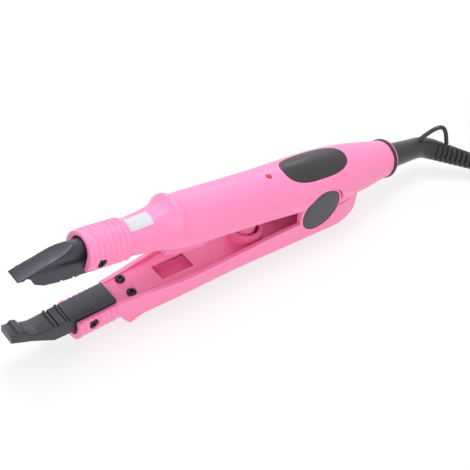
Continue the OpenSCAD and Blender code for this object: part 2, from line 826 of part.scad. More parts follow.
sleeve_end = sleeve_x + 4.5 + rib_pitch * sleeve_ribs;
heel_corner_x = heel_end - 22.4;
lever_front = [[sleeve_x, sleeve_r + 1], [sleeve_end - 1, sleeve_r + 1], [sleeve_end - 0.5, lever_half - 5.1],
    [foot_x + 1.8, lever_half - 4.25], [foot_x + 14.8, lever_half - 2.5], [foot_x + 28.8, lever_half - 0.7],
    [grip_x, lever_half - 0.3], [pivot_x - 28, lever_half - 0.2]];
// The lever's half widths, the whole outline moved in by an even wall
function lever_plan(inset) = let (half = lever_half - inset, end = heel_end - inset) concat(
    [for (p = lever_front) [p.x, p.y - inset]], [[pivot_x - ear_r, half], [heel_corner_x, half]],
    [for (a = [15:15:75]) [mix(heel_corner_x, end, pow(sin(a), 0.77)), half * pow(cos(a), 0.77)]],
    [[end, half * pow(cos(83), 0.77)]]);
under_line = concat([[sleeve_x, sleeve_r], [sleeve_end, sleeve_r]],
    smooth([[sleeve_end, sleeve_r], [foot_x - 3.4, foot_r - 4.2], [foot_x - 1.2, foot_r - 0.8],
        [foot_x, foot_r], [foot_x + 1.6, foot_r - 0.5], [foot_x + 5, foot_r - 1.5],
        [foot_x + 11, belly_r], [foot_x + 28.8, belly_r + 0.6],
        [foot_x + 60.8, belly_r + 1], [pivot_x - 26, belly_r + 2.2],
        [heel_x - 14, heel_r - 0.5], [heel_x, heel_r], [heel_x + 8, heel_r - 1.4],
        [heel_x + 15, heel_r - 4.3], [heel_end - 1, heel_r - 8.6], [heel_end + 0.4, heel_r - 12]], 2));
rim_line = [[sleeve_x - 1, -rim_drop - 0.5], [sleeve_end - 2, -rim_drop - 0.5], [sleeve_end, -rim_drop],
    [pivot_x - 28, -rim_drop], [pivot_x - ear_r, -heel_drop], [heel_end + 1, -heel_drop]];
side_outline = concat([[sleeve_x - 1, -far]], rim_line, [[heel_end + 1, -far]]);

// The lever's tub as a solid, thinner by an even wall
module tub(inset = 0) {
    intersection() {
        plan_slab(lever_plan(inset), -lever_drop - 30, 0);
        union() {
            turned(under_line, -lever_drop, inset);
            translate([sleeve_end - 0.5, -20, -lever_drop]) cube([far, 40, far]);
        }
    }
}

module sleeve_rib_rings() {
    for (i = [0:sleeve_ribs - 1]) about_x(-lever_drop)
        translate([0, 0, sleeve_x + 3.4 + rib_pitch * (i + 0.5)]) rotate_extrude($fn = 96)
            translate([sleeve_r + rib_rise - rib_r, 0]) circle(rib_r, $fn = 24);
}

module front_lip() {
    about_x(-lever_drop) translate([0, 0, sleeve_x]) cylinder(h = 2.6, r = sleeve_r + 0.6, $fn = 96);
}

foot_of_ear = sqrt(ear_r * ear_r - pow(heel_drop - pivot_drop, 2));

module ears() {
    for (side = sides) {
        from = side > 0 ? ear_in : -lever_half;
        thick = lever_half - ear_in;
        across(pivot_x, -pivot_drop, ear_r, from, from + thick);
        translate([pivot_x - foot_of_ear, from, -heel_drop - 7]) cube([2 * foot_of_ear, thick,
            heel_drop + 7 - pivot_drop]);
    }
}

module ear_bores() {
    across(pivot_x, -pivot_drop, pin_r + tiny / 2, -far, far);
    for (side = sides)
        across(pivot_x, -pivot_drop, cap_r + slip, side > 0 ? cap_floor : -far,
            side > 0 ? far : -cap_floor);
}

jaw_screw_places = [jaw_end + 10, 4.94];
side_z = -16.4;
jaw_room = jaw_rear_half + 0.25;
jaw_rear = jaw_end + 14.5;

module lever_shell() {
    color(pink) difference() {
        in_lever() difference() {
            union() {
                intersection() {
                    difference() {
                        union() {
                            tub();
                            sleeve_rib_rings();
                            front_lip();
                        }
                        difference() {
                            tub(shell_wall);
                            // Wall that closes the front below the jaw
                            translate([sleeve_x - 1, -20, -60]) cube([3, 40, 60 - jaw_drop - 0.2]);
                        }
                        translate([sleeve_x - 1, -jaw_room, -jaw_drop - 0.2])
                            cube([jaw_end + 1.2 - sleeve_x, 2 * jaw_room, far]);
                    }
                    side_slab(side_outline, far);
                }
                ears();
                liner_ledges();
            }
            ear_bores();
            for (side = sides) side_hole(jaw_screw_x, side_z, sleeve_r - 1.4, side);
        }
        below(0);
    }
}

liner_x = [jaw_end + 0.6, pivot_x + 19];
pocket_x = [stop_x + 1.4, stop_x + 20.4];
liner_flat = [jaw_end + 7, jaw_end + 13.1];
screw_seat = -12.7;
liner_line = [[liner_x[0], -12.1], [liner_flat[0], screw_seat], [liner_flat[1], screw_seat],
    [pocket_x[0], -14.5], [pocket_x[1], -15.4], [spring_x, -17.4], [pivot_x - 18, -20.5],
    [liner_x[1], -20.5]];
cup_x = spring_x - 0.5;

// Ledges along the inside of the tub that carry the liner
module liner_ledges() {
    intersection() {
        difference() {
            tub(shell_wall / 2);
            tub(shell_wall + 1.6);
            translate([0, -20, -far]) cube([jaw_rear + 2, 40, 2 * far]);
        }
        side_slab(concat(shifted(liner_line, [0, -liner_t - slip]),
            shifted(reversed(liner_line), [0, -liner_t - slip - 2])), far);
    }
}

pocket_half = 5;
pocket_depth = 5;
cup_floor = boss_drop + 1.2;

module lever_liner() {
    cup_r = cup_bore + cup_wall;
    color(dark_pink) in_lever() difference() {
        union() {
            intersection() {
                tub(shell_wall + slip);
                side_slab(concat(liner_line, reversed(shifted(liner_line, [0, -liner_t]))), far);
            }
            translate([pocket_x[0] - 1.4, -pocket_half - 1.4, -15 - pocket_depth - 1.4])
                cube([pocket_x[1] - pocket_x[0] + 2.8, 2 * pocket_half + 2.8, pocket_depth]);
            translate([cup_x, 0, -cup_floor - 1.5])
                cylinder(h = cup_floor + 1.5 - cup_rim, r = cup_r, $fn = 64);
        }
        translate([pocket_x[0], -pocket_half, -15 - pocket_depth])
            cube([pocket_x[1] - pocket_x[0], 2 * pocket_half, far]);
        translate([cup_x, 0, -cup_floor]) cylinder(h = far, r = cup_bore, $fn = 64);
        for (side = sides) {
            translate([jaw_screw_places.x, side * jaw_screw_places.y, -far])
                cylinder(h = far, r = shank_r + slip, $fn = 32);
            across(pivot_x, -pivot_drop, ear_r + slip, side > 0 ? ear_in - slip : -far,
                side > 0 ? far : slip - ear_in);
        }
    }
}

jaw_plan = [[0, jaw_front_half], [12, jaw_front_half + 0.5], [26, jaw_rear_half - 0.65],
    [jaw_end, jaw_rear_half], [jaw_rear + 2, jaw_rear_half]];

module lower_jaw() {
    top = concat(shifted(tip_under, [0, -jaw_gap]), [[jaw_end, bite_z - jaw_gap]]);
    shank_top = screw_seat - liner_t - 0.3;
    outline = concat(top, [[jaw_end, shank_top], [jaw_rear, shank_top - 0.4], [jaw_rear, -jaw_drop],
        [22.3, -jaw_drop], [10.6, -12.8], [6, -10.8], [0.3, -8.1]]);
    color(charcoal) in_lever() difference() {
        intersection() {
            side_slab(outline, far);
            plan_slab(jaw_plan, -far, far);
        }
        for (x = groove_places) translate([x - groove_w / 2, -far, bite_z - jaw_gap - groove_d])
            cube([groove_w, 2 * far, far]);
        for (side = sides) {
            translate([jaw_screw_places.x, side * jaw_screw_places.y, -far])
                cylinder(h = far, r = shank_r + slip / 2, $fn = 32);
            translate([jaw_screw_x, side * 3.4, side_z]) rotate([-90 * side, 0, 0])
                cylinder(h = 9, r = shank_r + slip / 2, $fn = 32);
        }
    }
}

module jaw_screws() {
    color(black) in_lever() for (side = sides)
        translate([jaw_screw_places.x, side * jaw_screw_places.y, screw_seat + tiny]) pan_screw(5.6);
}

module jaw_side_screws() {
    color(black) in_lever() for (side = sides)
        side_screw(jaw_screw_x, sleeve_r - 1.35, side_z, side, 4.2);
}

module pivot_pin() {
    color(steel) in_lever() across(pivot_x, -pivot_drop, pin_r, -cap_floor + slip / 2, cap_floor - slip / 2);
}

module pivot_cap(side) {
    from = side > 0 ? cap_floor : -cap_floor - cap_t;
    color("#4a4c50") in_lever() across(pivot_x, -pivot_drop, cap_r, from, from + cap_t);
}

module pivot_cap_left() {
    pivot_cap(1);
}

module pivot_cap_right() {
    pivot_cap(-1);
}

// A spring from the boss's ceiling down to the cup's floor, closed at both ends
spring_top = -edge_drop - wire_r - 0.25;
spring_low = (spring_x + spring_r + wire_r - pivot_x) * tan(open_deg)
    - (cup_floor - pivot_drop) / cos(open_deg) - pivot_drop + wire_r + side_gap;

function spring_point(t) = let (end = 0.9, h = (max(min(t, curls - end), end) - end) / (curls - 2 * end),
        dead = 2.3 * wire_r * (min(t, end) / end + max(t - curls + end, 0) / end - 1))
    [spring_x + spring_r * cos(360 * t), spring_r * sin(360 * t),
        mix(spring_top - 2.3 * wire_r, spring_low + 2.3 * wire_r, h) - dead];

module return_spring() {
    color(steel) in_body() tube([for (i = [0:curls * 8]) spring_point(i / 8)], wire_r, 6, [0, 0, 1]);
}

// Lead: neck, ribbed guard, hanging loop, cord and plug

bend_x = shell_end + neck_len;
neck_line = concat([[neck_in, neck_flange_r], [neck_in + 3.4, neck_flange_r], [neck_in + 3.4, neck_r]],
    smooth([[shell_end, neck_r], [shell_end + 8, neck_r - 0.35], [bend_x - 6, guard_r + 0.25],
        [bend_x, guard_r + 0.05]], 3), [[bend_x + 0.3, guard_r + 0.05]]);
bend_roll = -79;

module after_bend() {
    translate([bend_x, 0, 0]) rotate([bend_roll, 0, 0]) translate([bend_r * sin(bend_deg), 0,
        bend_r * (cos(bend_deg) - 1)]) rotate([0, bend_deg, 0]) children();
}

module cord_guard() {
    rib = guard_len / guard_ribs;
    color(black) in_body() {
        turned(neck_line);
        translate([bend_x, 0, 0]) rotate([bend_roll, 0, 0]) translate([0, 0, -bend_r])
            rotate([0, bend_deg - 90, 0]) rotate([90, 0, 0]) rotate_extrude(angle = bend_deg, $fn = 96)
                translate([bend_r, 0]) circle(guard_r, $fn = 64);
        after_bend() rotate([0, 90, 0]) {
            translate([0, 0, -0.4]) cylinder(h = guard_len + 0.4, r1 = guard_r - 0.9, r2 = guard_tip_r - 0.8,
                $fn = 64);
            for (i = [0:guard_ribs - 1]) translate([0, 0, rib * i + 0.9])
                cylinder(h = rib - 0.9, r = mix(guard_r, guard_tip_r, (i + 0.5) / guard_ribs), $fn = 64);
        }
    }
}

loop_knots = [[260.8, 0.3, 4.7], [263.3, -0.6, 8.1], [266.4, -1.8, 11.8], [268.8, -2.7, 13.7],
    [270.9, -3.5, 14.5], [272.8, -4.4, 14], [274.3, -5.3, 12.1], [275.5, -6.2, 9.4], [277, -7.6, 4.6]];

module hanging_loop() {
    color(black) in_body() tube(smooth(loop_knots, 3), 1.25, 8, [0, 1, 0]);
}

// The lead's route: out of the guard, down to the table, through the tied hank and on to the plug
guard_dir = [cos(bend_deg), sin(bend_roll) * sin(bend_deg), -cos(bend_roll) * sin(bend_deg)];
function in_row(p) = let (dx = p.x - pivot_x, dz = p.z + pivot_drop)
    [pivot_row_x + dx * cos(stand_deg) + dz * sin(stand_deg), p.y, pivot_h - dx * sin(stand_deg)
        + dz * cos(stand_deg)];
bend_out = bend_r * (1 - cos(bend_deg));
guard_end = in_row([bend_x + bend_r * sin(bend_deg), sin(bend_roll) * bend_out, -cos(bend_roll) * bend_out]
    + guard_len * guard_dir);
guard_way = unit(in_row(guard_dir) - in_row([0, 0, 0]));
cord_r = cord_d / 2;
hank_centre = [244, -12.6];
// Turns to a layer, number of layers, and the height at which the hank lies on its tie
hank_layer = 1.75;
hank_layers = 4;
hank_lift = 0.6;
hank_steps = 24;
function climb(s) = s * s * (3 - 2 * s);
// Distance outward in pitches from the innermost turn, rounded off where the winding reverses
function hank_swing(m) = m < 0.25 ? 2 * m * m + 0.125 : m;
function hank_out(t) = let (n = min(max(round(t / hank_layer), 1), hank_layers - 1),
        swing = hank_swing(abs(t - hank_layer * n))) n % 2 == 1 ? swing : hank_layer - swing;
function hank_rise(t, n = 1) = n == hank_layers ? 0
    : climb(min(max(2 * (t - hank_layer * n) + 0.5, 0), 1)) + hank_rise(t, n + 1);
// Each half turn is a rounded end and then a straight run
function hank_point(t) = let (halves = 2 * t + 11 / 12, k = floor(halves + 0.000001),
        along = 12 * (halves - k), side = k % 2 == 0 ? -1 : 1,
        a = 180 + 90 * side + 180 * min(along / 11, 1), r = hank_r + hank_pitch * hank_out(t))
    [hank_centre.x + side * hank_run * (0.5 - max(along - 11, 0)) + r * cos(a),
        hank_centre.y + r * sin(a), cord_r + hank_lift + hank_pitch * hank_rise(t)];
hank_path = [for (i = [0:hank_layer * hank_layers * hank_steps]) hank_point(i / hank_steps)];
hank_last = len(hank_path) - 1;
// The stretches meet face to face on short straight ends
straight = [3, 0, 0];
hank_start = hank_path[0] - straight;
hank_end = hank_path[hank_last] + straight;
hank_line = concat([hank_start], hank_path, [hank_end]);
hank_top = hank_lift + cord_d + hank_pitch * (hank_layers - 1);
// An even curve between two points that leaves and arrives in given directions
function bow(a, way_a, b, way_b, reach, steps) = let (p = a + reach[0] * way_a, q = b - reach[1] * way_b)
    [for (i = [0:steps]) let (t = i / steps, u = 1 - t)
        u * u * u * a + 3 * u * u * t * p + 3 * u * t * t * q + t * t * t * b];
lead_line = concat(bow(guard_end, guard_way, hank_start - straight, [1, 0, 0], [16, 20], 8), [hank_start]);
// The tail climbs off the hank, turns back over it, and enters the plug that lies on top
plug_start = [272, hank_end.y + 41, hank_top + 0.1 + plug_h / 2];
turn_r = (plug_start.y - hank_end.y) / 2;
turn_rise = 3.7;
tail_up = concat([hank_end], bow(hank_end + straight, [1, 0, 0], [plug_start.x - 6, hank_end.y,
    plug_start.z - turn_rise], [1, 0, 0], [13, 13], 8));
tail_turn = [for (i = [0:10]) [plug_start.x + turn_r * sin(18 * i), plug_start.y - turn_r * (1 + cos(18 * i)),
    plug_start.z + turn_rise * (climb(i / 10) - 1)]];
tail_route = concat(tail_up, tail_turn);
function length(p) = len(p) < 2 ? 0 : [for (i = 0, s = 0; i < len(p); i = i + 1,
    s = s + (i < len(p) ? norm(p[i] - p[i - 1]) : 0)) s][len(p) - 1];
hank_gap = min([for (i = [0:hank_last - 8], j = [i + 8:hank_last]) norm(hank_path[i] - hank_path[j])])
    - cord_d;
echo(spring_top_row = in_row([spring_x, 0, spring_top + wire_r]).z);
echo(pivot_row_x = pivot_row_x, pivot_h = pivot_h, stand_deg = stand_deg, lean_deg = lean_deg,
    guard_end = guard_end, guard_way = guard_way);
echo(lead = length(lead_line), hank = length(hank_line), tail = length(tail_route), hank_gap = hank_gap,
    hank_start = hank_start, hank_end = hank_end, plug_start = plug_start);

module power_cord() {
    color(black) tube(lead_line, cord_r, 10, [0, 0, 1]);
}

module cord_hank() {
    color(black) tube(hank_line, cord_r, 6, [0, 0, 1]);
}

module cord_tail() {
    color(black) tube(tail_route, cord_r, 10, [0, 0, 1]);
}

// A strap round the hank's run on the far side, just clear of the lead
tie_x = 257;
tie_thick = 0.5;
tie_slack = 0.08;
tie_from = [hank_centre.y + hank_r + 0.25 * hank_pitch - cord_r, hank_lift];
tie_to = [hank_centre.y + hank_r + 1.625 * hank_pitch + cord_r, hank_top];
function tie_outline(grow) = [for (corner = [[1, 1, 0], [0, 1, 90], [0, 0, 180], [1, 0, 270]], a = [0:15:90])
    [mix(tie_from.x + cord_r, tie_to.x - cord_r, corner.x) + (cord_r + grow) * cos(corner.z + a),
        mix(tie_from.y + cord_r, tie_to.y - cord_r, corner.y) + (cord_r + grow) * sin(corner.z + a)]];

module cord_tie() {
    color(black) translate([tie_x, 0, 0]) rotate([90, 0, 90]) difference() {
        linear_extrude(tie_w) polygon(tie_outline(tie_slack + tie_thick));
        translate([0, 0, -1]) linear_extrude(tie_w + 2) polygon(tie_outline(tie_slack));
    }
}

relief_len = 16;
// Depth and half thickness of each pin's root, and the step in front of the body
pin_root = 7.9;
pin_root_r = 1.5;
pin_step = 0.3;

// Places the plug with its pins towards the iron
module at_plug() {
    translate([plug_start.x, plug_start.y, plug_start.z - plug_h / 2]) rotate([0, 0, 180]) children();
}

module plug_body() {
    corner = 3.6;
    wide = plug_w / 2;
    plan = [[0, 8], [6, 11.5], [14, 15.5], [21, wide], [plug_len, wide]];
    end = [[-wide, corner], [corner - wide, 0], [wide - corner, 0], [wide, corner], [wide, plug_h - corner],
        [wide - corner, plug_h], [corner - wide, plug_h], [-wide, plug_h - corner]];
    color(black) at_plug() {
        translate([0, 0, plug_h / 2]) rotate([0, 90, 0]) cylinder(h = relief_len + 0.5, r1 = cord_r + 0.5,
            r2 = 5.2, $fn = 48);
        translate([relief_len, 0, 0]) difference() {
            intersection() {
                plan_slab(plan, 0, plug_h);
                rotate([90, 0, 90]) linear_extrude(plug_len) polygon(end);
            }
            for (side = sides) translate([plug_len - pin_root - slip, side * pins_apart / 2, plug_h / 2])
                rotate([0, 90, 0]) cylinder(h = pin_root + 1, r = pin_root_r + slip, $fn = 48);
        }
    }
}

// Each pin has a slimmer root held in the body, a shank and a tapered end
module plug_pins() {
    shank = [[0, pin_root_r], [pin_root + pin_step, pin_root_r], [pin_root + pin_step, pin_d / 2],
        [pin_root + pin_len - 1, pin_d / 2], [pin_root + pin_len, pin_d / 2 - 0.8]];
    outline = concat([[0, 0]], [for (p = shank) [p.y, p.x]], [[0, pin_root + pin_len]]);
    color(steel) at_plug() for (side = sides) translate([relief_len + plug_len - pin_root,
        side * pins_apart / 2, plug_h / 2]) rotate([0, 90, 0]) rotate_extrude($fn = 48) polygon(outline);
}

upper_shell();
lower_cover();
heating_tip();
tip_insulator();
heater_element();
thermal_fuse();
control_board();
board_components();
heater_wires();
supply_wires();
indicator_lens();
rating_plate();
front_label();
retaining_ring();
cord_clamp();
clamp_screws();
tip_screws();
cover_screws();
pivot_bushes();
lever_shell();
lever_liner();
lower_jaw();
jaw_screws();
jaw_side_screws();
pivot_pin();
pivot_cap_left();
pivot_cap_right();
return_spring();
cord_guard();
hanging_loop();
power_cord();
cord_hank();
cord_tail();
cord_tie();
plug_body();
plug_pins();
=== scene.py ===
"""Looks of a hair extension fusion iron, built round its packed construction.

The iron stands open on the finger stop and the heel of its lower lever. Sizes of the pieces are
in millimetres, laid out in the handle's own axes: X runs from the tip's front edge back to the
lead, Y is across, and Z = 0 is the handle's axis. The lever is laid out in the same axes, as it
lies with the jaws shut. A Stance turns both arms into the frame, whose unit is the metre.
"""

import bisect
import logging
import math
from dataclasses import dataclass, field
from enum import Enum
from functools import cached_property
from typing import Callable, Iterable, Iterator, Optional, Sequence

import bmesh
import bpy
from mathutils import Euler, Matrix, Vector

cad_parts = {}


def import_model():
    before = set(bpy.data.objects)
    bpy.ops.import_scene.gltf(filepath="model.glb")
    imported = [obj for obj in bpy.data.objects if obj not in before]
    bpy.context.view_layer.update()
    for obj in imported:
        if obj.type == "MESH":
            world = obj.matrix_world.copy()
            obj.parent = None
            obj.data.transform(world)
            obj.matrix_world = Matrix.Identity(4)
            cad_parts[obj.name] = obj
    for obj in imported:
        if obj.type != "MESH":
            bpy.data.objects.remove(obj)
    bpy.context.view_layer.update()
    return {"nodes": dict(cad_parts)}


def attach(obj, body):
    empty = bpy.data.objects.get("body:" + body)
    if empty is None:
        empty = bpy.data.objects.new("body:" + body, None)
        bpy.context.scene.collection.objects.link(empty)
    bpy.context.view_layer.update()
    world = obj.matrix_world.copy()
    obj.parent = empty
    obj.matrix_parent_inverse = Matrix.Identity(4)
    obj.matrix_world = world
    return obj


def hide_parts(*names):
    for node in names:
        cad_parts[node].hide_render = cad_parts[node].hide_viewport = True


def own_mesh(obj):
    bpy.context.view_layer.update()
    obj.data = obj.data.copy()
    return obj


LOG = logging.getLogger("fusion_iron")
MM = 0.001
NEAR = 1e-4  # Points nearer than this to each other become one.
SHARP = math.radians(42)  # Edges with a greater angle stay sharp in the shading.

Line = Sequence[tuple[float, float]]
Point = tuple[float, float]
Colour = tuple[float, float, float]


class Body(Enum):
    """The rigid bodies of the construction."""

    HANDLE = "handle"
    LEVER = "lever"


@dataclass(frozen=True)
class Stance:
    """How the two arms stand in the frame.

    Attributes:
        pivot: Place of the hinge in the frame, in metres.
        pivot_x: Place of the hinge along the arms.
        pivot_drop: Depth of the hinge below the handle's axis.
        open_deg: Angle between the arms.
        lean_deg: Tilt of the lever, whose stop and heel stand on the table.
    """

    pivot: Vector = field(default_factory=lambda: Vector((0.0593192, 0.0, 0.0244098)))
    pivot_x: float = 178.0
    pivot_drop: float = 9.0
    open_deg: float = 11.0
    lean_deg: float = 0.929757

    def _placed(self, turn_deg: float) -> Matrix:
        """Returns the matrix from an arm's own millimetres to the frame."""
        return (
            Matrix.Translation(self.pivot)
            @ Matrix.Rotation(math.radians(turn_deg), 4, "Y")
            @ Matrix.Translation(Vector((-self.pivot_x, 0, self.pivot_drop)) * MM)
            @ Matrix.Scale(MM, 4)
        )

    def of(self, body: Body) -> Matrix:
        """Returns the matrix that stands one of the two arms in the frame."""
        lift = self.open_deg if body is Body.HANDLE else 0.0
        return self._placed(lift - self.lean_deg)


STANCE = Stance()
HINGE = Vector((STANCE.pivot_x, 0, -STANCE.pivot_drop))
SIDES = (1, -1)
SEAT_R = 2.7  # Radius of a side screw's seat.
SEAT_DEPTH = 6.0  # Way from the seat's floor out of the arm.
HEAD_LIFT = 0.05  # Gap between the seat's floor and the screw's head.
SKIRT_GAP = 3.0  # Distance from the hinge down to the skirt's edge, square to the opened lever.


def placed(name: str, data: bpy.types.ID) -> bpy.types.Object:
    """Returns a new object that shows some data in the scene."""
    made = bpy.data.objects.new(name, data)
    bpy.context.scene.collection.objects.link(made)
    return made


def srgb(red: int, green: int, blue: int) -> Colour:
    """Returns a colour, written as a screen shows it, in linear light."""
    parts = (channel / 255 for channel in (red, green, blue))
    return tuple(c / 12.92 if c <= 0.04045 else ((c + 0.055) / 1.055) ** 2.4 for c in parts)


class Tree:
    """The node tree of a material or of the world."""

    def __init__(self, owner: bpy.types.ID) -> None:
        """Starts with the nodes that the owner has."""
        owner.use_nodes = True
        self.nodes = owner.node_tree.nodes
        self.links = owner.node_tree.links

    def node(self, kind: str, **settings: object) -> bpy.types.Node:
        """Adds a node.

        Args:
            kind: Blender's name of the node's type, without its prefix.
            **settings: Properties to set on the node.

        Returns:
            The new node.
        """
        made = self.nodes.new("ShaderNode" + kind)
        for name, value in settings.items():
            setattr(made, name, value)
        return made

    def link(self, start: bpy.types.NodeSocket, end: bpy.types.NodeSocket) -> None:
        """Joins two sockets."""
        self.links.new(start, end)


class Graph(Tree):
    """A material's node tree, with the Principled shader and the surface's own coordinates."""

    def __init__(self, name: str) -> None:
        """Makes a material with a name."""
        self.material = bpy.data.materials.new(name)
        super().__init__(self.material)
        self.shader = self.nodes["Principled BSDF"]
        self.coords = self.node("TexCoord").outputs["Object"]

    def set(self, **values: float) -> None:
        """Sets the shader's own sockets, named with underscores for spaces."""
        for name, value in values.items():
            self.shader.inputs[name.replace("_", " ")].default_value = value

    def noise(
        self, scale: float, detail: float = 2.0, stretch: Optional[Sequence[float]] = None
    ) -> bpy.types.NodeSocket:
        """Adds a noise pattern.

        Args:
            scale: Number of grains per metre.
            detail: Number of finer layers.
            stretch: Scale along each axis, for a brushed look.

        Returns:
            The socket with the noise, about 0 to 1.
        """
        pattern = self.node("TexNoise")
        pattern.inputs["Scale"].default_value = scale
        pattern.inputs["Detail"].default_value = detail
        coords = self.coords
        if stretch is not None:
            mapping = self.node("Mapping")
            mapping.inputs["Scale"].default_value = stretch
            self.link(coords, mapping.inputs["Vector"])
            coords = mapping.outputs["Vector"]
        self.link(coords, pattern.inputs["Vector"])
        return pattern.outputs["Fac"]

    def ranged(
        self, source: bpy.types.NodeSocket, old: Point, new: Point = (0.0, 1.0)
    ) -> bpy.types.NodeSocket:
        """Maps one range of a pattern to another.

        Args:
            source: The pattern.
            old: The range that it has.
            new: The range that it gets.

        Returns:
            The socket with the result.
        """
        ranged = self.node("MapRange")
        for name, value in zip(("From Min", "From Max", "To Min", "To Max"), (*old, *new)):
            ranged.inputs[name].default_value = value
        self.link(source, ranged.inputs["Value"])
        return ranged.outputs["Result"]

    def rough(self, source: bpy.types.NodeSocket, low: float, high: float) -> None:
        """Drives the roughness from low to high with a noise pattern's middle range."""
        self.link(self.ranged(source, (0.3, 0.7), (low, high)), self.shader.inputs["Roughness"])

    def tint(self, source: bpy.types.NodeSocket, low: Colour, high: Colour) -> None:
        """Drives the base colour from low to high with a pattern."""
        blend = self.node("Mix", data_type="RGBA")
        colours = (s for s in blend.inputs if s.type == "RGBA")
        for socket, colour in zip(colours, (low, high)):
            socket.default_value = (*colour, 1.0)
        self.link(source, blend.inputs["Factor"])
        result = next(s for s in blend.outputs if s.type == "RGBA")
        self.link(result, self.shader.inputs["Base Color"])

    def relief(self, source: bpy.types.NodeSocket, height_mm: float) -> None:
        """Raises a pattern as a fine relief of the given height."""
        bump = self.node("Bump")
        bump.inputs["Strength"].default_value = 1.0
        bump.inputs["Distance"].default_value = height_mm * MM
        self.link(source, bump.inputs["Height"])
        self.link(bump.outputs["Normal"], self.shader.inputs["Normal"])


def shade(colour: Colour, share: float) -> Colour:
    """Returns a colour made lighter or darker by a share."""
    return tuple(channel * share for channel in colour)


@dataclass(frozen=True)
class Coat:
    """What every finish has.

    Attributes:
        name: Name of the material.
        colour: Its colour as a screen shows it.
    """

    name: str
    colour: tuple[int, int, int]

    def started(self) -> tuple[Graph, Colour]:
        """Returns the finish's graph, still plain, and its colour in linear light."""
        return Graph(self.name), srgb(*self.colour)


@dataclass(frozen=True)
class Moulding(Coat):
    """Moulded plastic or rubber with a fine spark-eroded grain.

    Attributes:
        gloss: Roughness at the grain's smoothest spots.
        dull: Roughness at its dullest spots.
        grain_mm: Distance from grain to grain.
        depth_mm: Height of the grain.
        drift: Share by which the colour drifts over the piece.
        sheen: Share of soft light scattered at grazing angles.
    """

    gloss: float = 0.34
    dull: float = 0.46
    grain_mm: float = 0.28
    depth_mm: float = 0.012
    drift: float = 0.03
    sheen: float = 0.0

    def made(self) -> bpy.types.Material:
        """Returns the finish as a material."""
        graph, base = self.started()
        graph.set(IOR=1.49, Sheen_Weight=self.sheen)
        graph.tint(graph.noise(38), shade(base, 1 - self.drift), shade(base, 1 + self.drift))
        graph.relief(graph.noise(1 / (self.grain_mm * MM), detail=3), self.depth_mm)
        graph.rough(graph.noise(160), self.gloss, self.dull)
        return graph.material


@dataclass(frozen=True)
class HotCoat(Coat):
    """Dark ceramic paint on a cast metal jaw, slightly speckled and worn.

    Attributes:
        speck: Colour of the metal grains that show in it.
    """

    speck: tuple[int, int, int]

    def made(self) -> bpy.types.Material:
        """Returns the finish as a material."""
        graph, base = self.started()
        graph.set(Metallic=0.35, IOR=1.5)
        grains = graph.node("TexVoronoi")
        grains.inputs["Scale"].default_value = 3200
        graph.link(graph.coords, grains.inputs["Vector"])
        specks = graph.ranged(grains.outputs["Distance"], (0.34, 0.12))
        graph.tint(specks, base, srgb(*self.speck))
        graph.relief(graph.noise(2600, detail=4), 0.02)
        graph.rough(graph.noise(420), 0.28, 0.42)
        return graph.material


@dataclass(frozen=True)
class PlainMetal(Coat):
    """Bare or plated metal with fine turning marks.

    Attributes:
        gloss: Roughness where it is smoothest.
        marks: Scale of the marks along each axis.
    """

    gloss: float = 0.25
    marks: tuple[float, float, float] = (1.0, 8.0, 8.0)

    def made(self) -> bpy.types.Material:
        """Returns the finish as a material."""
        graph, base = self.started()
        graph.set(Metallic=1.0)
        marks = graph.noise(900, stretch=self.marks)
        graph.tint(marks, shade(base, 0.88), base)
        graph.relief(marks, 0.004)
        graph.rough(marks, self.gloss, self.gloss + 0.15)
        return graph.material


@dataclass(frozen=True)
class Jewel(Coat):
    """Clear coloured plastic of an indicator light."""

    def made(self) -> bpy.types.Material:
        """Returns the finish as a material."""
        graph, base = self.started()
        graph.set(IOR=1.54, Coat_Weight=0.6, Transmission_Weight=0.25)
        graph.tint(graph.noise(900), shade(base, 0.8), base)
        graph.rough(graph.noise(1500), 0.06, 0.14)
        return graph.material


@dataclass(frozen=True)
class Paper(Coat):
    """Satin white foil of a bare label, with a soft fibre."""

    def made(self) -> bpy.types.Material:
        """Returns the finish as a material."""
        graph, base = self.started()
        fibre = graph.noise(700, detail=4, stretch=(1.0, 3.0, 1.0))
        graph.tint(fibre, shade(base, 0.97), base)
        graph.relief(fibre, 0.006)
        graph.rough(fibre, 0.38, 0.5)
        return graph.material


@dataclass(frozen=True)
class Laminate(Coat):
    """Green lacquered board with its fine copper lines.

    Attributes:
        line: Colour where a copper line lies under it.
    """

    line: tuple[int, int, int]

    def made(self) -> bpy.types.Material:
        """Returns the finish as a material."""
        graph, base = self.started()
        wave = graph.node("TexWave", wave_type="BANDS", bands_direction="Y")
        wave.inputs["Scale"].default_value = 130
        wave.inputs["Distortion"].default_value = 3.0
        graph.link(graph.coords, wave.inputs["Vector"])
        graph.tint(wave.outputs["Fac"], base, srgb(*self.line))
        graph.relief(wave.outputs["Fac"], 0.02)
        graph.rough(graph.noise(500), 0.25, 0.4)
        return graph.material


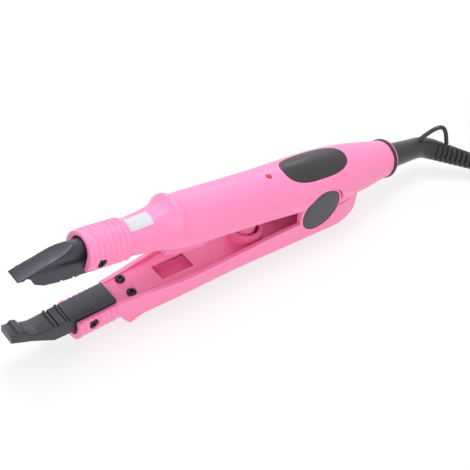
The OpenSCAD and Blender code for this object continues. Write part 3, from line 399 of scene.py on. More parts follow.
class Finish(Enum):
    """The finishes of the iron, each with the record's name of its material slot."""

    PINK = "pink_shell", Moulding("pink_moulding", (251, 137, 185))
    # A darker copy of the shell's pink, painted shade for the lever's liner and the handle's lower
    # cover.
    PINK_PAINTED_SHADE = "pink_inner", Moulding("pink_moulding_painted_shade", (240, 120, 171), gloss=0.4, dull=0.52)
    TIP = "charcoal_tip", HotCoat("ceramic_coat", (54, 56, 63), (88, 90, 100))
    INSULATOR = "insulator", Moulding("insulator_moulding", (222, 214, 198), grain_mm=0.5)
    CERAMIC = "ceramic", Moulding("ceramic_rod", (240, 236, 226), gloss=0.5, dull=0.7, grain_mm=0.4)
    TINNED = "tinned_metal", PlainMetal("tinned_can", (196, 198, 202), gloss=0.3)
    BOARD = "board", Laminate("board_lacquer", (28, 92, 52), (44, 122, 66))
    PARTS = "components", Moulding("component_case", (38, 38, 42), gloss=0.35, dull=0.5)
    WIRE_WHITE = (
        "wire_white",
        Moulding("glass_sleeve", (232, 226, 210), gloss=0.6, dull=0.75, grain_mm=0.35),
    )
    WIRE_BLUE = "wire_blue", Moulding("wire_cover", (58, 98, 168), gloss=0.3, dull=0.4)
    LENS = "red_lens", Jewel("red_jewel", (226, 18, 26))
    PLATE = (
        "plate_dark",
        Moulding("plate_foil", (42, 38, 43), 0.2, 0.3, grain_mm=0.5, depth_mm=0.001),
    )
    LABEL = "label_white", Paper("label_foil", (202, 203, 209))
    BLACK = "black_plastic", Moulding("black_moulding", (40, 40, 44), gloss=0.32, dull=0.44)
    CLAMP = "clamp_plastic", Moulding("clamp_moulding", (226, 220, 208), gloss=0.4, dull=0.5)
    ZINC = "zinc_screw", PlainMetal("zinc_plating", (190, 192, 196))
    SCREW = "black_screw", PlainMetal("black_plating", (58, 58, 62), gloss=0.32)
    BRASS = "brass_bush", PlainMetal("brass_turning", (200, 164, 92), marks=(8.0, 1.0, 8.0))
    PIN = "steel_pin", PlainMetal("ground_steel", (188, 190, 194), gloss=0.2, marks=(8.0, 1.0, 8.0))
    CAP = "grey_cap", Moulding("cap_moulding", (42, 42, 50), gloss=0.12, dull=0.18, depth_mm=0.003)
    SPRING = "spring_steel", PlainMetal("spring_wire", (168, 170, 176))
    RUBBER = (
        "black_rubber",
        Moulding("guard_rubber", (28, 29, 34), gloss=0.26, dull=0.36, sheen=0.1),
    )
    CORD = "black_cord", Moulding("cord_cover", (34, 34, 38), gloss=0.42, dull=0.55, sheen=0.1)
    NICKEL = "nickel_pin", PlainMetal("nickel_plating", (206, 202, 192), gloss=0.14)

    def __init__(self, slot: str, coat: Coat) -> None:
        """Keeps the slot's name and the coat that the finish is made from."""
        self.slot = slot
        self.coat = coat


class Dresser:
    """Makes each finish once and dresses pieces with it."""

    def __init__(self) -> None:
        """Starts with no finish made."""
        self._made: dict[Finish, bpy.types.Material] = {}

    def material(self, finish: Finish) -> bpy.types.Material:
        """Returns a finish's material, made when it is first asked for."""
        if finish not in self._made:
            self._made[finish] = finish.coat.made()
        return self._made[finish]

    def piece(self, piece: bpy.types.Object, finish: Finish, body: Body, *stands_for: str) -> None:
        """Dresses a new piece and hangs it on its body.

        Args:
            piece: The piece, in its place in the frame.
            finish: Its finish.
            body: The body that it rides on.
            *stands_for: The construction's nodes that it replaces.
        """
        piece.data.materials.clear()
        piece.data.materials.append(self.material(finish))
        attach(piece, body.value)
        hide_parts(*stands_for)

    def node(self, node: bpy.types.Object, finish: Finish) -> None:
        """Gives one of the construction's own nodes its finish."""
        if not node.data.materials:
            node.data.materials.append(None)
        for index in range(len(node.data.materials)):
            node.data.materials[index] = self.material(finish)


def mix(low: float, high: float, share: float) -> float:
    """Returns the number at a share of the way from low to high."""
    return low + (high - low) * share


def between(start: Point, end: Point, shares: Line) -> list[Point]:
    """Returns points at given shares of the way from one corner to the next."""
    return [(mix(start[0], end[0], s), mix(start[1], end[1], t)) for s, t in shares]


def smooth_line(knots: Sequence[Sequence[float]], steps: int) -> list[Vector]:
    """Draws an even line through every knot.

    Args:
        knots: The knots, as points of two or three numbers.
        steps: Number of steps from knot to knot.

    Returns:
        The points of the line.
    """
    points = [Vector(knot) for knot in knots]
    drawn = []
    for i in range(len(points) - 1):
        a, b, c = points[max(i - 1, 0)], points[i], points[i + 1]
        d = points[min(i + 2, len(points) - 1)]
        for t in (step / steps for step in range(steps)):
            bend, twist = 2 * a - 5 * b + 4 * c - d, 3 * b - a - 3 * c + d
            drawn.append((2 * b + (c - a) * t + bend * (t * t) + twist * (t * t * t)) / 2)
    return drawn + [points[-1]]


def fused(low: float, high: float, blend: float) -> float:
    """Returns the greater of two radii, with the valley between them rounded over a blend."""
    near = max(blend - abs(low - high), 0.0) / blend
    return max(low, high) + near * near * blend / 4


def evenly(line: Sequence[Vector], count: int) -> list[Vector]:
    """Returns a number of points spread evenly along a line."""
    marks = [0.0]
    for a, b in zip(line, line[1:]):
        marks.append(marks[-1] + (b - a).length)
    spread, at = [], 0
    for i in range(count):
        goal = marks[-1] * i / (count - 1)
        while at < len(line) - 2 and marks[at + 1] < goal:
            at += 1
        share = (goal - marks[at]) / max(marks[at + 1] - marks[at], 1e-9)
        spread.append(line[at].lerp(line[at + 1], min(share, 1.0)))
    return spread


def stations(*stretches: tuple[float, float, float]) -> list[float]:
    """Returns places along X, from stretches of start, end and step."""
    places = []
    for start, end, step in stretches:
        count = max(1, round((end - start) / step))
        places += [mix(start, end, i / count) for i in range(count)]
    return places + [stretches[-1][1]]


class Profile:
    """A height or radius that follows a line of (place, value) points."""

    def __init__(self, points: Sequence[Sequence[float]]) -> None:
        """Keeps the points of the line, in rising order of place."""
        self._places = [point[0] for point in points]
        self._values = [point[1] for point in points]

    def places(self) -> list[float]:
        """Returns the places of the line's points."""
        return list(self._places)

    def at(self, place: float) -> float:
        """Returns the value at a place, and the end's own value beyond an end."""
        i = bisect.bisect_right(self._places, place)
        if i == 0 or i == len(self._places):
            return self._values[min(i, len(self._values) - 1)]
        start, end = self._places[i - 1], self._places[i]
        return mix(self._values[i - 1], self._values[i], (place - start) / (end - start))


class Form:
    """A closed shape in the making, in an arm's own millimetres."""

    def __init__(self) -> None:
        """Starts an empty shape."""
        self.bm = bmesh.new()

    def loft(self, rings: Sequence[Sequence[Vector]]) -> "Form":
        """Wraps a grid round a row of rings with as many points each, and closes its ends."""
        rows, columns = len(rings) - 1, len(rings[0])
        grid = bmesh.ops.create_grid(self.bm, x_segments=columns, y_segments=rows, size=1.0)
        made = grid["verts"]
        for vert in made:
            row = round((vert.co.y + 1) / 2 * rows)
            column = round((vert.co.x + 1) / 2 * columns)
            vert.co = rings[row][column % columns]
        faces = {face for vert in made for face in vert.link_faces}
        bmesh.ops.remove_doubles(self.bm, verts=made, dist=NEAR)
        ends = {edge for face in faces if face.is_valid for edge in face.edges if edge.is_boundary}
        bmesh.ops.holes_fill(self.bm, edges=list(ends), sides=0)
        return self

    def turned(self, line: Line, centre: Vector, axis: str = "X", segments: int = 72) -> "Form":
        """Spins a closed line of (along, radius) points round an axis.

        Args:
            line: The line, which starts and ends on the axis or closes on itself.
            centre: A point on the axis, from which the line's places count.
            axis: The axis, "X", "Y" or "Z".
            segments: Number of segments round.
        """
        along = Vector([float(axis == name) for name in "XYZ"])
        out = Vector((1, 0, 0)) if axis == "Z" else Vector((0, 0, 1))
        points = [centre + place * along + radius * out for place, radius in line]
        vert = bmesh.ops.create_vert(self.bm, co=points[0])["vert"][0]
        chain = [vert]
        for point in points[1:]:
            vert = bmesh.ops.extrude_vert_indiv(self.bm, verts=[vert])["verts"][0]
            vert.co = point
            chain.append(vert)
        edges = list({edge for link in chain for edge in link.link_edges})
        if line[0][1] > 0 or line[-1][1] > 0:
            edges += bmesh.ops.contextual_create(self.bm, geom=[chain[0], chain[-1]])["edges"]
        bmesh.ops.spin(
            self.bm,
            geom=chain + edges,
            cent=centre,
            axis=along,
            angle=math.tau,
            steps=segments,
            use_merge=True,
        )
        bmesh.ops.remove_doubles(self.bm, verts=self.bm.verts[:], dist=NEAR)
        return self

    def drum(
        self, radius: float, low: float, high: float, centre: Vector, axis: str, segments: int = 72
    ) -> "Form":
        """Spins a plain drum from low to high along an axis."""
        line = [(low, 0), (low, radius), (high, radius), (high, 0)]
        return self.turned(line, centre, axis, segments)

    def prism(
        self, outline: Sequence[Sequence[float]], low: float, high: float, axis: str = "Z"
    ) -> "Form":
        """Raises a flat outline along an axis.

        Args:
            outline: Points in the plane across the axis, in the axes' own order.
            low: Where the shape starts.
            high: Where it ends.
            axis: The axis, "X", "Y" or "Z".
        """
        at = "XYZ".index(axis)
        rings = [[Vector((*p[:at], level, *p[at:])) for p in outline] for level in (low, high)]
        return self.loft(rings)

    def box(self, low: Sequence[float], high: Sequence[float]) -> "Form":
        """Adds a box between two corners."""
        made = bmesh.ops.create_cube(self.bm, size=1.0)["verts"]
        bmesh.ops.scale(self.bm, vec=[h - l for l, h in zip(low, high)], verts=made)
        bmesh.ops.translate(self.bm, vec=[(l + h) / 2 for l, h in zip(low, high)], verts=made)
        return self

    def tube(
        self, points: Sequence[Vector], radius: Callable[[float, float], float], sides: int
    ) -> "Form":
        """Lays a tube along points.

        Args:
            points: The tube's own line.
            radius: Its radius at a length along it and an angle round it.
            sides: Number of sides.
        """
        normal = Vector((0, 0, 1))
        rings, length = [], 0.0
        for i, point in enumerate(points):
            way = (points[min(i + 1, len(points) - 1)] - points[max(i - 1, 0)]).normalized()
            normal = (normal - way * normal.dot(way)).normalized()
            other = way.cross(normal)
            length += (point - points[i - 1]).length if i else 0.0
            ring = []
            for angle in (math.tau * k / sides for k in range(sides)):
                out = math.cos(angle) * normal + math.sin(angle) * other
                ring.append(point + radius(length, angle) * out)
            rings.append(ring)
        return self.loft(rings)

    def turn(self, turn_deg: float, axis: str = "X") -> "Form":
        """Turns the shape about one of the arm's axes."""
        turn = Matrix.Rotation(math.radians(turn_deg), 3, axis)
        bmesh.ops.rotate(self.bm, cent=(0, 0, 0), matrix=turn, verts=self.bm.verts[:])
        return self

    def shave(self, point: Vector, normal: Vector, round_width: float) -> None:
        """Cuts off what lies beyond a plane, closes the cut and rounds its edge.

        Args:
            point: A point of the plane.
            normal: Direction in which the part beyond it lies.
            round_width: Distance of the rounding from the edge.
        """
        bmesh.ops.bisect_plane(
            self.bm,
            geom=[*self.bm.verts, *self.bm.edges, *self.bm.faces],
            dist=NEAR,
            plane_co=point,
            plane_no=normal,
            clear_outer=True,
        )
        rim = [edge for edge in self.bm.edges if edge.is_boundary]
        bmesh.ops.edgeloop_fill(self.bm, edges=rim)
        self._bevel(rim, round_width, 3, clamped=False)

    def _bevel(
        self, edges: list[bmesh.types.BMEdge], width: float, segments: int, clamped: bool = True
    ) -> None:
        """Rounds edges over a width in a number of steps."""
        bmesh.ops.bevel(
            self.bm,
            geom=edges,
            offset=width,
            segments=segments,
            profile=0.5,
            affect="EDGES",
            material=-1,
            clamp_overlap=clamped,
        )

    def join(self, other: "Form") -> None:
        """Adds another form, which is used up, beside this one."""
        mesh = bpy.data.meshes.new("temporary")
        other.bm.to_mesh(mesh)
        other.bm.free()
        self.bm.from_mesh(mesh)
        bpy.data.meshes.remove(mesh)

    def round_edges(self, width: float, over_deg: float, segments: int = 2) -> None:
        """Rounds every edge that is sharper than an angle.

        Args:
            width: Distance of the rounding from the edge.
            over_deg: Least angle between the faces of an edge that is rounded.
            segments: Number of steps in the rounding.
        """
        bmesh.ops.recalc_face_normals(self.bm, faces=self.bm.faces[:])
        sharp = [
            edge
            for edge in self.bm.edges
            if len(edge.link_faces) == 2 and edge.calc_face_angle(0.0) > math.radians(over_deg)
        ]
        self._bevel(sharp, width, segments)

    def _temporary(self) -> bpy.types.Object:
        """Returns an object that holds the shape for a cut."""
        mesh = bpy.data.meshes.new("temporary")
        bmesh.ops.recalc_face_normals(self.bm, faces=self.bm.faces[:])
        self.bm.to_mesh(mesh)
        self.bm.free()
        return placed("temporary", mesh)

    def _combine(self, tool: "Form", operation: str) -> None:
        """Cuts or fuses this form with another one, which is used up."""
        body, other = self._temporary(), tool._temporary()
        modifier = body.modifiers.new("combine", "BOOLEAN")
        modifier.operation, modifier.solver, modifier.object = operation, "EXACT", other
        shaped = body.evaluated_get(bpy.context.evaluated_depsgraph_get())
        mesh = bpy.data.meshes.new_from_object(shaped)
        self.bm = bmesh.new()
        self.bm.from_mesh(mesh)
        for holder in (body, other):
            held = holder.data
            bpy.data.objects.remove(holder)
            bpy.data.meshes.remove(held)
        bpy.data.meshes.remove(mesh)

    def cut(self, tool: "Form") -> None:
        """Takes another form, which is used up, out of this one."""
        self._combine(tool, "DIFFERENCE")

    def fuse(self, other: "Form") -> None:
        """Joins another form, which is used up, with this one into one skin."""
        self._combine(other, "UNION")

    def finished(self, name: str, body: Body) -> bpy.types.Object:
        """Turns the shape into a piece that stands with its arm in the frame.

        Args:
            name: Name of the piece.
            body: The arm in whose axes it was made.

        Returns:
            The piece, smooth but for its sharp edges, and flat where it stands on the table.
        """
        bm = self.bm
        bmesh.ops.remove_doubles(bm, verts=bm.verts[:], dist=NEAR)
        bmesh.ops.dissolve_degenerate(bm, edges=bm.edges[:], dist=NEAR)
        bmesh.ops.transform(bm, matrix=STANCE.of(body), verts=bm.verts[:])
        for vert in bm.verts:
            vert.co.z = max(vert.co.z, 0.0)
        bmesh.ops.recalc_face_normals(bm, faces=bm.faces[:])
        for face in bm.faces:
            face.smooth = True
        for edge in bm.edges:
            edge.smooth = edge.calc_face_angle(0.0) < SHARP
        open_edges = sum(not edge.is_manifold for edge in bm.edges)
        if open_edges:
            LOG.warning("%s isn't closed: %d edges", name, open_edges)
        mesh = bpy.data.meshes.new(name)
        bm.to_mesh(mesh)
        bm.free()
        return placed(name, mesh)


def arc(radius: float, height: float, low_deg: float, high_deg: float, count: int) -> list[Vector]:
    """Returns points of an arc in the Y-Z plane, about a height on the Z axis."""
    angles = [math.radians(mix(low_deg, high_deg, i / (count - 1))) for i in range(count)]
    return [Vector((0, radius * math.cos(a), height + radius * math.sin(a))) for a in angles]


def at_x(x: float, points: Iterable[Vector]) -> list[Vector]:
    """Returns points of the Y-Z plane moved to a place along X."""
    return [Vector((x, point.y, point.z)) for point in points]


def mirrored(half: Sequence[Vector]) -> list[Vector]:
    """Returns a closed outline from its left half, which starts and ends on the middle plane."""
    return [*half, *(Vector((point.x, -point.y, point.z)) for point in reversed(half[1:-1]))]


def rounded_box(half: float, low: float, high: float, corner: float) -> list[Vector]:
    """Returns the outline of a box with round corners in the Y-Z plane.

    Args:
        half: Half its width.
        low: Its lowest height.
        high: Its greatest height.
        corner: Radius of its corners.
    """
    corner = min(corner, half * 0.98, (high - low) * 0.49)
    outline = []
    top, bottom = high - corner, low + corner
    for side, level, start in ((1, top, 0), (-1, top, 90), (-1, bottom, 180), (1, bottom, 270)):
        for point in arc(corner, level, start, start + 90, 6):
            outline.append(Vector((0, side * (half - corner) + point.y, point.z)))
    return outline


def eased(line: Line, reach: float) -> list[tuple[float, float]]:
    """Returns a line with a small round in place of each inner corner.

    Args:
        line: The corners of the line.
        reach: Distance from a corner at which its round starts.
    """
    corners = [Vector(point) for point in line]
    points = [corners[0]]
    for before, corner, after in zip(corners, corners[1:], corners[2:]):
        near = min(reach, (corner - before).length * 0.45, (after - corner).length * 0.45)
        start = corner + (before - corner).normalized() * near
        end = corner + (after - corner).normalized() * near
        points += [start, (start + 2 * corner + end) / 4, end]
    return [tuple(point) for point in (*points, corners[-1])]


def both_sides(x: float, y: float, z: float) -> list[Vector]:
    """Returns a place on the left and its mirror image on the right."""
    return [Vector((x, side * y, z)) for side in SIDES]


def screw_seat(place: Vector) -> Form:
    """Returns the sunk seat of a side screw's head, open to its own side."""
    return Form().drum(SEAT_R, 0, math.copysign(SEAT_DEPTH, place.y), place, "Y", 48)


@dataclass(frozen=True)
class Ribs:
    """The round ribs across the front of an arm.

    Attributes:
        first: Front end of the ribs.
        count: Number of ribs.
        centre: Distance of a crest's centre from the arm's axis.
        crest_r: Radius of a crest.
        pitch: Distance from rib to rib.
        blend: Width over which a rib melts into the arm.
    """

    first: float
    count: int
    centre: float
    crest_r: float = 1.4
    pitch: float = 3.0
    blend: float = 0.12

    def over(self, x: float, radius: float) -> float:
        """Returns the radius at a place of an arm with the ribs laid over it."""
        rib = math.floor((x - self.first) / self.pitch)
        off = x - self.first - (rib + 0.5) * self.pitch
        if not 0 <= rib < self.count or abs(off) >= self.crest_r:
            return radius
        return fused(radius, self.centre + math.sqrt(self.crest_r**2 - off * off), self.blend)


@dataclass(frozen=True)
class RatingPlate:
    """The dark oval plate on top of the handle, left bare.

    Attributes:
        x: Middle of the plate along the arm.
        half_len: Half its length.
        half_width: Half its width.
        power: Power of its rounded outline.
        turn_deg: Turn of its middle line about the arm's axis.
        rise: Height at which it stands proud.
        thick: Its thickness.
        room: Gap between the plate and the edge of its seat.
    """

    x: float = 174.0
    half_len: float = 21.5
    half_width: float = 9.2
    power: float = 2 / 2.7
    turn_deg: float = 7.0
    rise: float = 0.2
    thick: float = 0.8
    room: float = 0.28

    def outline(self, share: float = 1.0, grow: float = 0.0) -> list[Vector]:
        """Returns the outline, shrunk to a share of its size or grown by a width."""
        size = ((self.half_len + grow) * share, (self.half_width + grow) * share)
        points = []
        for i in range(96):
            angle = math.tau * i / 96
            x, y = (
                reach * math.copysign(abs(part) ** self.power, part)
                for reach, part in zip(size, (math.cos(angle), math.sin(angle)))
            )
            points.append(Vector((self.x + x, y, 0)))
        return points

    def form(self, line: Profile) -> Form:
        """Returns the plate, bent over the handle, with a slim raised rim.

        Args:
            line: The half thickness of the handle.
        """
        shares = (0.02, 0.2, 0.4, 0.6, 0.8, 0.9, 0.925, 0.945, 0.985, 0.997, 1.0)
        drops = (0.11, 0.11, 0.11, 0.11, 0.11, 0.11, 0.08, 0.0, 0.0, 0.05, 0.2)
        levels = [(share, self.rise - drop) for share, drop in zip(shares, drops)]
        levels += [(share, self.rise - self.thick) for share in reversed(shares)]
        rings = []
        for share, level in levels:
            ring = self.outline(share)
            for point in ring:
                point.z = math.sqrt((line.at(point.x) + level) ** 2 - point.y * point.y)
            rings.append(ring)
        return Form().loft(rings).turn(self.turn_deg)

    def seat(self, line: Profile) -> Form:
        """Returns the room that the plate takes out of the handle."""
        room = Form().prism([(point.x, point.y) for point in self.outline(grow=self.room)], 2, 20)
        places = stations((self.x - 26, self.x + 26, 1.0))
        floor = [(x, line.at(x) - self.thick + self.rise) for x in places]
        room.cut(Form().turned([(places[0], 0.0), *floor, (places[-1], 0.0)], Vector()))
        return room.turn(self.turn_deg)


@dataclass(frozen=True)
class Handle:
    """The upper arm's casing: ribbed collar, thumb stop, grip, skirt and tail.

    Attributes:
        collar_x: Front end of the collar.
        ribs: The collar's ribs.
        edge: Height of the casing's lower edge.
        wall: Thickness of the wall.
        stop_height: Height of the axis that the thumb stop is turned about.
        stop_span: Front and rear end of the thumb stop.
        stop_blend: Width over which the thumb stop melts into the grip.
        tunnel_half: Half the width of the tip's tunnel.
        tunnel_top: Height of its roof.
        cavity_x: Rear end of the tunnel.
        ear_room: Radius of the pocket for the lever's ears.
        tail_x: Front end of the groove for the dark ring.
        neck_hole: Radius of the hole that the lead's neck comes out of.
        skirt_half: Half the width of the skirt behind the ears.
        skirt_x: Front and rear end of the skirt.
        skirt_corner: Radius of the skirt's rear corners.
        light: Place and radius of the indicator light's hole.
        screw: Seat of the left side screw's head.
        rows: Number of points round the outside.
    """

    collar_x: float = 33.5
    ribs: Ribs = Ribs(36.0, 7, 9.0)
    edge: float = -5.5
    wall: float = 2.0
    stop_height: float = 2.6
    stop_span: tuple[float, float] = (59.6, 96.0)
    stop_blend: float = 0.7
    tunnel_half: float = 6.6
    tunnel_top: float = 8.0
    cavity_x: float = 56.0
    ear_room: float = 14.1
    tail_x: float = 232.2
    neck_hole: float = 7.15
    skirt_half: float = 13.3
    skirt_x: tuple[float, float] = (191.9, 209.0)
    skirt_corner: float = 9.0
    light: tuple[float, float] = (142.8, 1.55)
    screw: tuple[float, float, float] = (40.2, 8.7, -1.3)
    rows: int = 72

    @cached_property
    def line(self) -> Profile:
        """The half thickness of the arm along its axis."""
        waist, grip, hip, tail = (60, 9.15), (105, 14.05), (175, 15.4), (self.tail_x, 10.2)
        knots = [
            (self.collar_x, 9.9),
            (46, 9.9),
            (55, 9.7),
            waist,
            *between(waist, grip, [(0.11, 0.09), (0.22, 0.19), (0.4, 0.5)]),
            *between(waist, grip, [(0.54, 0.81), (0.71, 0.97)]),
            grip,
            *between(grip, hip, [(0.25, 0), (0.5, 0.15), (0.78, 0.6)]),
            hip,
            *between(hip, tail, [(0.26, 0.05), (0.52, 0.27), (0.75, 0.61), (0.92, 0.9)]),
            tail,
        ]
        groove = [(self.tail_x + 0.01, 9.2), (self.tail_x + 2, 9.2), (self.tail_x + 2.01, 9.95)]
        groove += [(self.tail_x + 3.2, 9.95), (self.tail_x + 3.5, 9.65)]
        return Profile([*smooth_line(knots, 8), *groove])

    @cached_property
    def stop(self) -> Profile:
        """The radius of the thumb stop about its own axis."""
        foot, crest, end = (self.stop_span[0], 6.2), (82.6, 13.6), (self.stop_span[1], 11.0)
        rise = between(foot, crest, [(0.283, 0.149), (0.522, 0.324), (0.717, 0.473), (0.87, 0.73)])
        return Profile(smooth_line([foot, *rise, crest, (85, 12.8), (88.6, 11.9), end], 8))

    def radius(self, x: float, sine: float) -> float:
        """Returns the radius of the outside.

        Args:
            x: Place along the arm.
            sine: Sine of the angle above the horizontal.
        """
        radius = self.ribs.over(x, self.line.at(x))
        if self.stop_span[0] < x < self.stop_span[1]:
            flat = self.stop_height**2 * (1 - sine * sine)
            wing = self.stop_height * sine + math.sqrt(self.stop.at(x) ** 2 - flat)
            radius = fused(radius, wing, self.stop_blend)
        return radius

    def low(self, x: float) -> float:
        """Returns the height of the lower edge, which arches over the lever's ears."""
        off = x - HINGE.x
        return max(self.edge, HINGE.z + math.sqrt(max(self.ear_room**2 - off * off, 0.0)))

    def _ring(self, x: float) -> list[Vector]:
        """Returns one section of the wall: over the outside and back along the inside."""
        low = self.low(x)
        sine = low / self.line.at(x)
        for _ in range(4):
            sine = low / self.radius(x, sine)
        start = math.asin(sine)
        outside = []
        for i in range(self.rows):
            angle = mix(start, math.pi - start, i / (self.rows - 1))
            radius = self.radius(x, math.sin(angle))
            outside.append(Vector((x, radius * math.cos(angle), radius * math.sin(angle))))
        if x < self.cavity_x:
            roof = arc(self.tunnel_half, self.tunnel_top - self.tunnel_half, 180, 0, 40)
            foot = Vector((0, self.tunnel_half, low))
            inside = [Vector((0, -foot.y, low)), *roof, foot]
        else:
            within = self.neck_hole if x > self.tail_x - self.wall else self.line.at(x) - self.wall
            edge_deg = math.degrees(math.asin(low / within))
            inside = arc(within, 0, 180 - edge_deg, edge_deg, self.rows)
        return outside + at_x(x, evenly(inside, self.rows))

    def form(self) -> Form:
        """Returns the casing with its skirt and the seats of plate, light and screws."""
        room = math.sqrt(self.ear_room**2 - (self.edge - HINGE.z) ** 2)
        arch = [HINGE.x + room * math.sin(math.radians(a)) for a in range(-90, 91, 4)]
        front = (self.collar_x, 36, 0.5), (36, 57, 0.2), (57, 98, 0.7), (98, arch[0] - 0.4, 2.2)
        rear = (-1.95, -1.0, -0.04, 0.01, 1.0, 1.98, 2.03, 3.2, 3.5)
        places = [*stations(*front), *arch, *stations((arch[-1] + 0.4, self.tail_x - 2.1, 1.6))]
        places += [self.tail_x + step for step in rear]
        form = Form().loft([self._ring(x) for x in places])
        form.round_edges(0.3, 50)
        plate, (x, radius) = RatingPlate(), self.light
        form.cut(plate.seat(self.line))
        form.cut(Form().drum(radius, 0, 20, Vector((x, 0, 2)), "Z").turn(plate.turn_deg))
        for place in both_sides(*self.screw):
            form.cut(screw_seat(place))
        return form.loft(self._skirt())

    def _rim(self, x: float) -> float:
        """Returns the height at which the skirt ends above the opened lever."""
        slope = math.radians(STANCE.open_deg)
        lever = HINGE.z - SKIRT_GAP / math.cos(slope) + (x - HINGE.x) * math.tan(slope)
        return min(lever, self.edge - 0.2)

    def _skirt(self) -> list[list[Vector]]:
        """Returns the sections of the skirt that closes the heel's top behind the ears."""
        corner, top = self.skirt_corner, self.edge + 0.6
        start, straight = self.skirt_x[0], self.skirt_x[1] - corner
        path = [(mix(start, straight, i / 6), self.skirt_half, 0) for i in range(6)]
        for turn in range(0, 91, 9):
            a = math.radians(turn)
            y = self.skirt_half - corner + corner * math.cos(a)
            path.append((straight + corner * math.sin(a), y, turn))
        path += [(x, -y, 180 - turn) for x, y, turn in reversed(path)]
        rings = []
        for x, y, turn in path:
            a = math.radians(turn)
            inner_x, inner_y = x - self.wall * math.sin(a), y - self.wall * math.cos(a)
            ends = (x, y, top), (x, y, self._rim(x))
            within = (inner_x, inner_y, self._rim(inner_x)), (inner_x, inner_y, top)
            rings.append([Vector(point) for point in (*ends, *within)])
        return rings

    def label(self) -> Form:
        """Returns the bare label that lies over the waist and the foot of the thumb stop."""
        half, proud, sunk, turn = 3.9, 0.2, 0.03, math.radians(RatingPlate().turn_deg)
        rings = []
        for x in stations((57.2, 70.0, 0.4)):
            ring = []
            for lift, order in ((proud, range(-8, 9)), (sunk, range(8, -9, -1))):
                for step in order:
                    across, radius = half * step / 8, 10.0
                    for _ in range(4):
                        angle = math.acos(across / radius) + turn
                        radius = self.radius(x, math.sin(angle)) + lift
                    ring.append(Vector((x, radius * math.cos(angle), radius * math.sin(angle))))
            rings.append(ring)
        return Form().loft(rings)

    def lens(self) -> Form:
        """Returns the domed red light."""
        radius, foot, shoulder = 1.45, 7.8, 14.05
        line = [(foot, 0), (foot, radius)]
        for a in (math.radians(step) for step in range(0, 90, 9)):
            line.append((shoulder + radius * math.sin(a), radius * math.cos(a)))
        line.append((shoulder + radius, 0))
        lens = Form().turned(line, Vector((self.light[0], 0, 0)), "Z", 36)
        return lens.turn(RatingPlate().turn_deg)

    def ring(self) -> Form:
        """Returns the dark ring round the tail."""
        start, end = self.tail_x + 0.06, self.tail_x + 1.94
        line = [(start, 9.25), (start, 10.55), (start + 0.1, 10.73), (start + 0.3, 10.8)]
        line += [(end - 0.3, 10.8), (end - 0.1, 10.73), (end, 10.55), (end, 9.25)]
        return Form().turned(line, Vector())


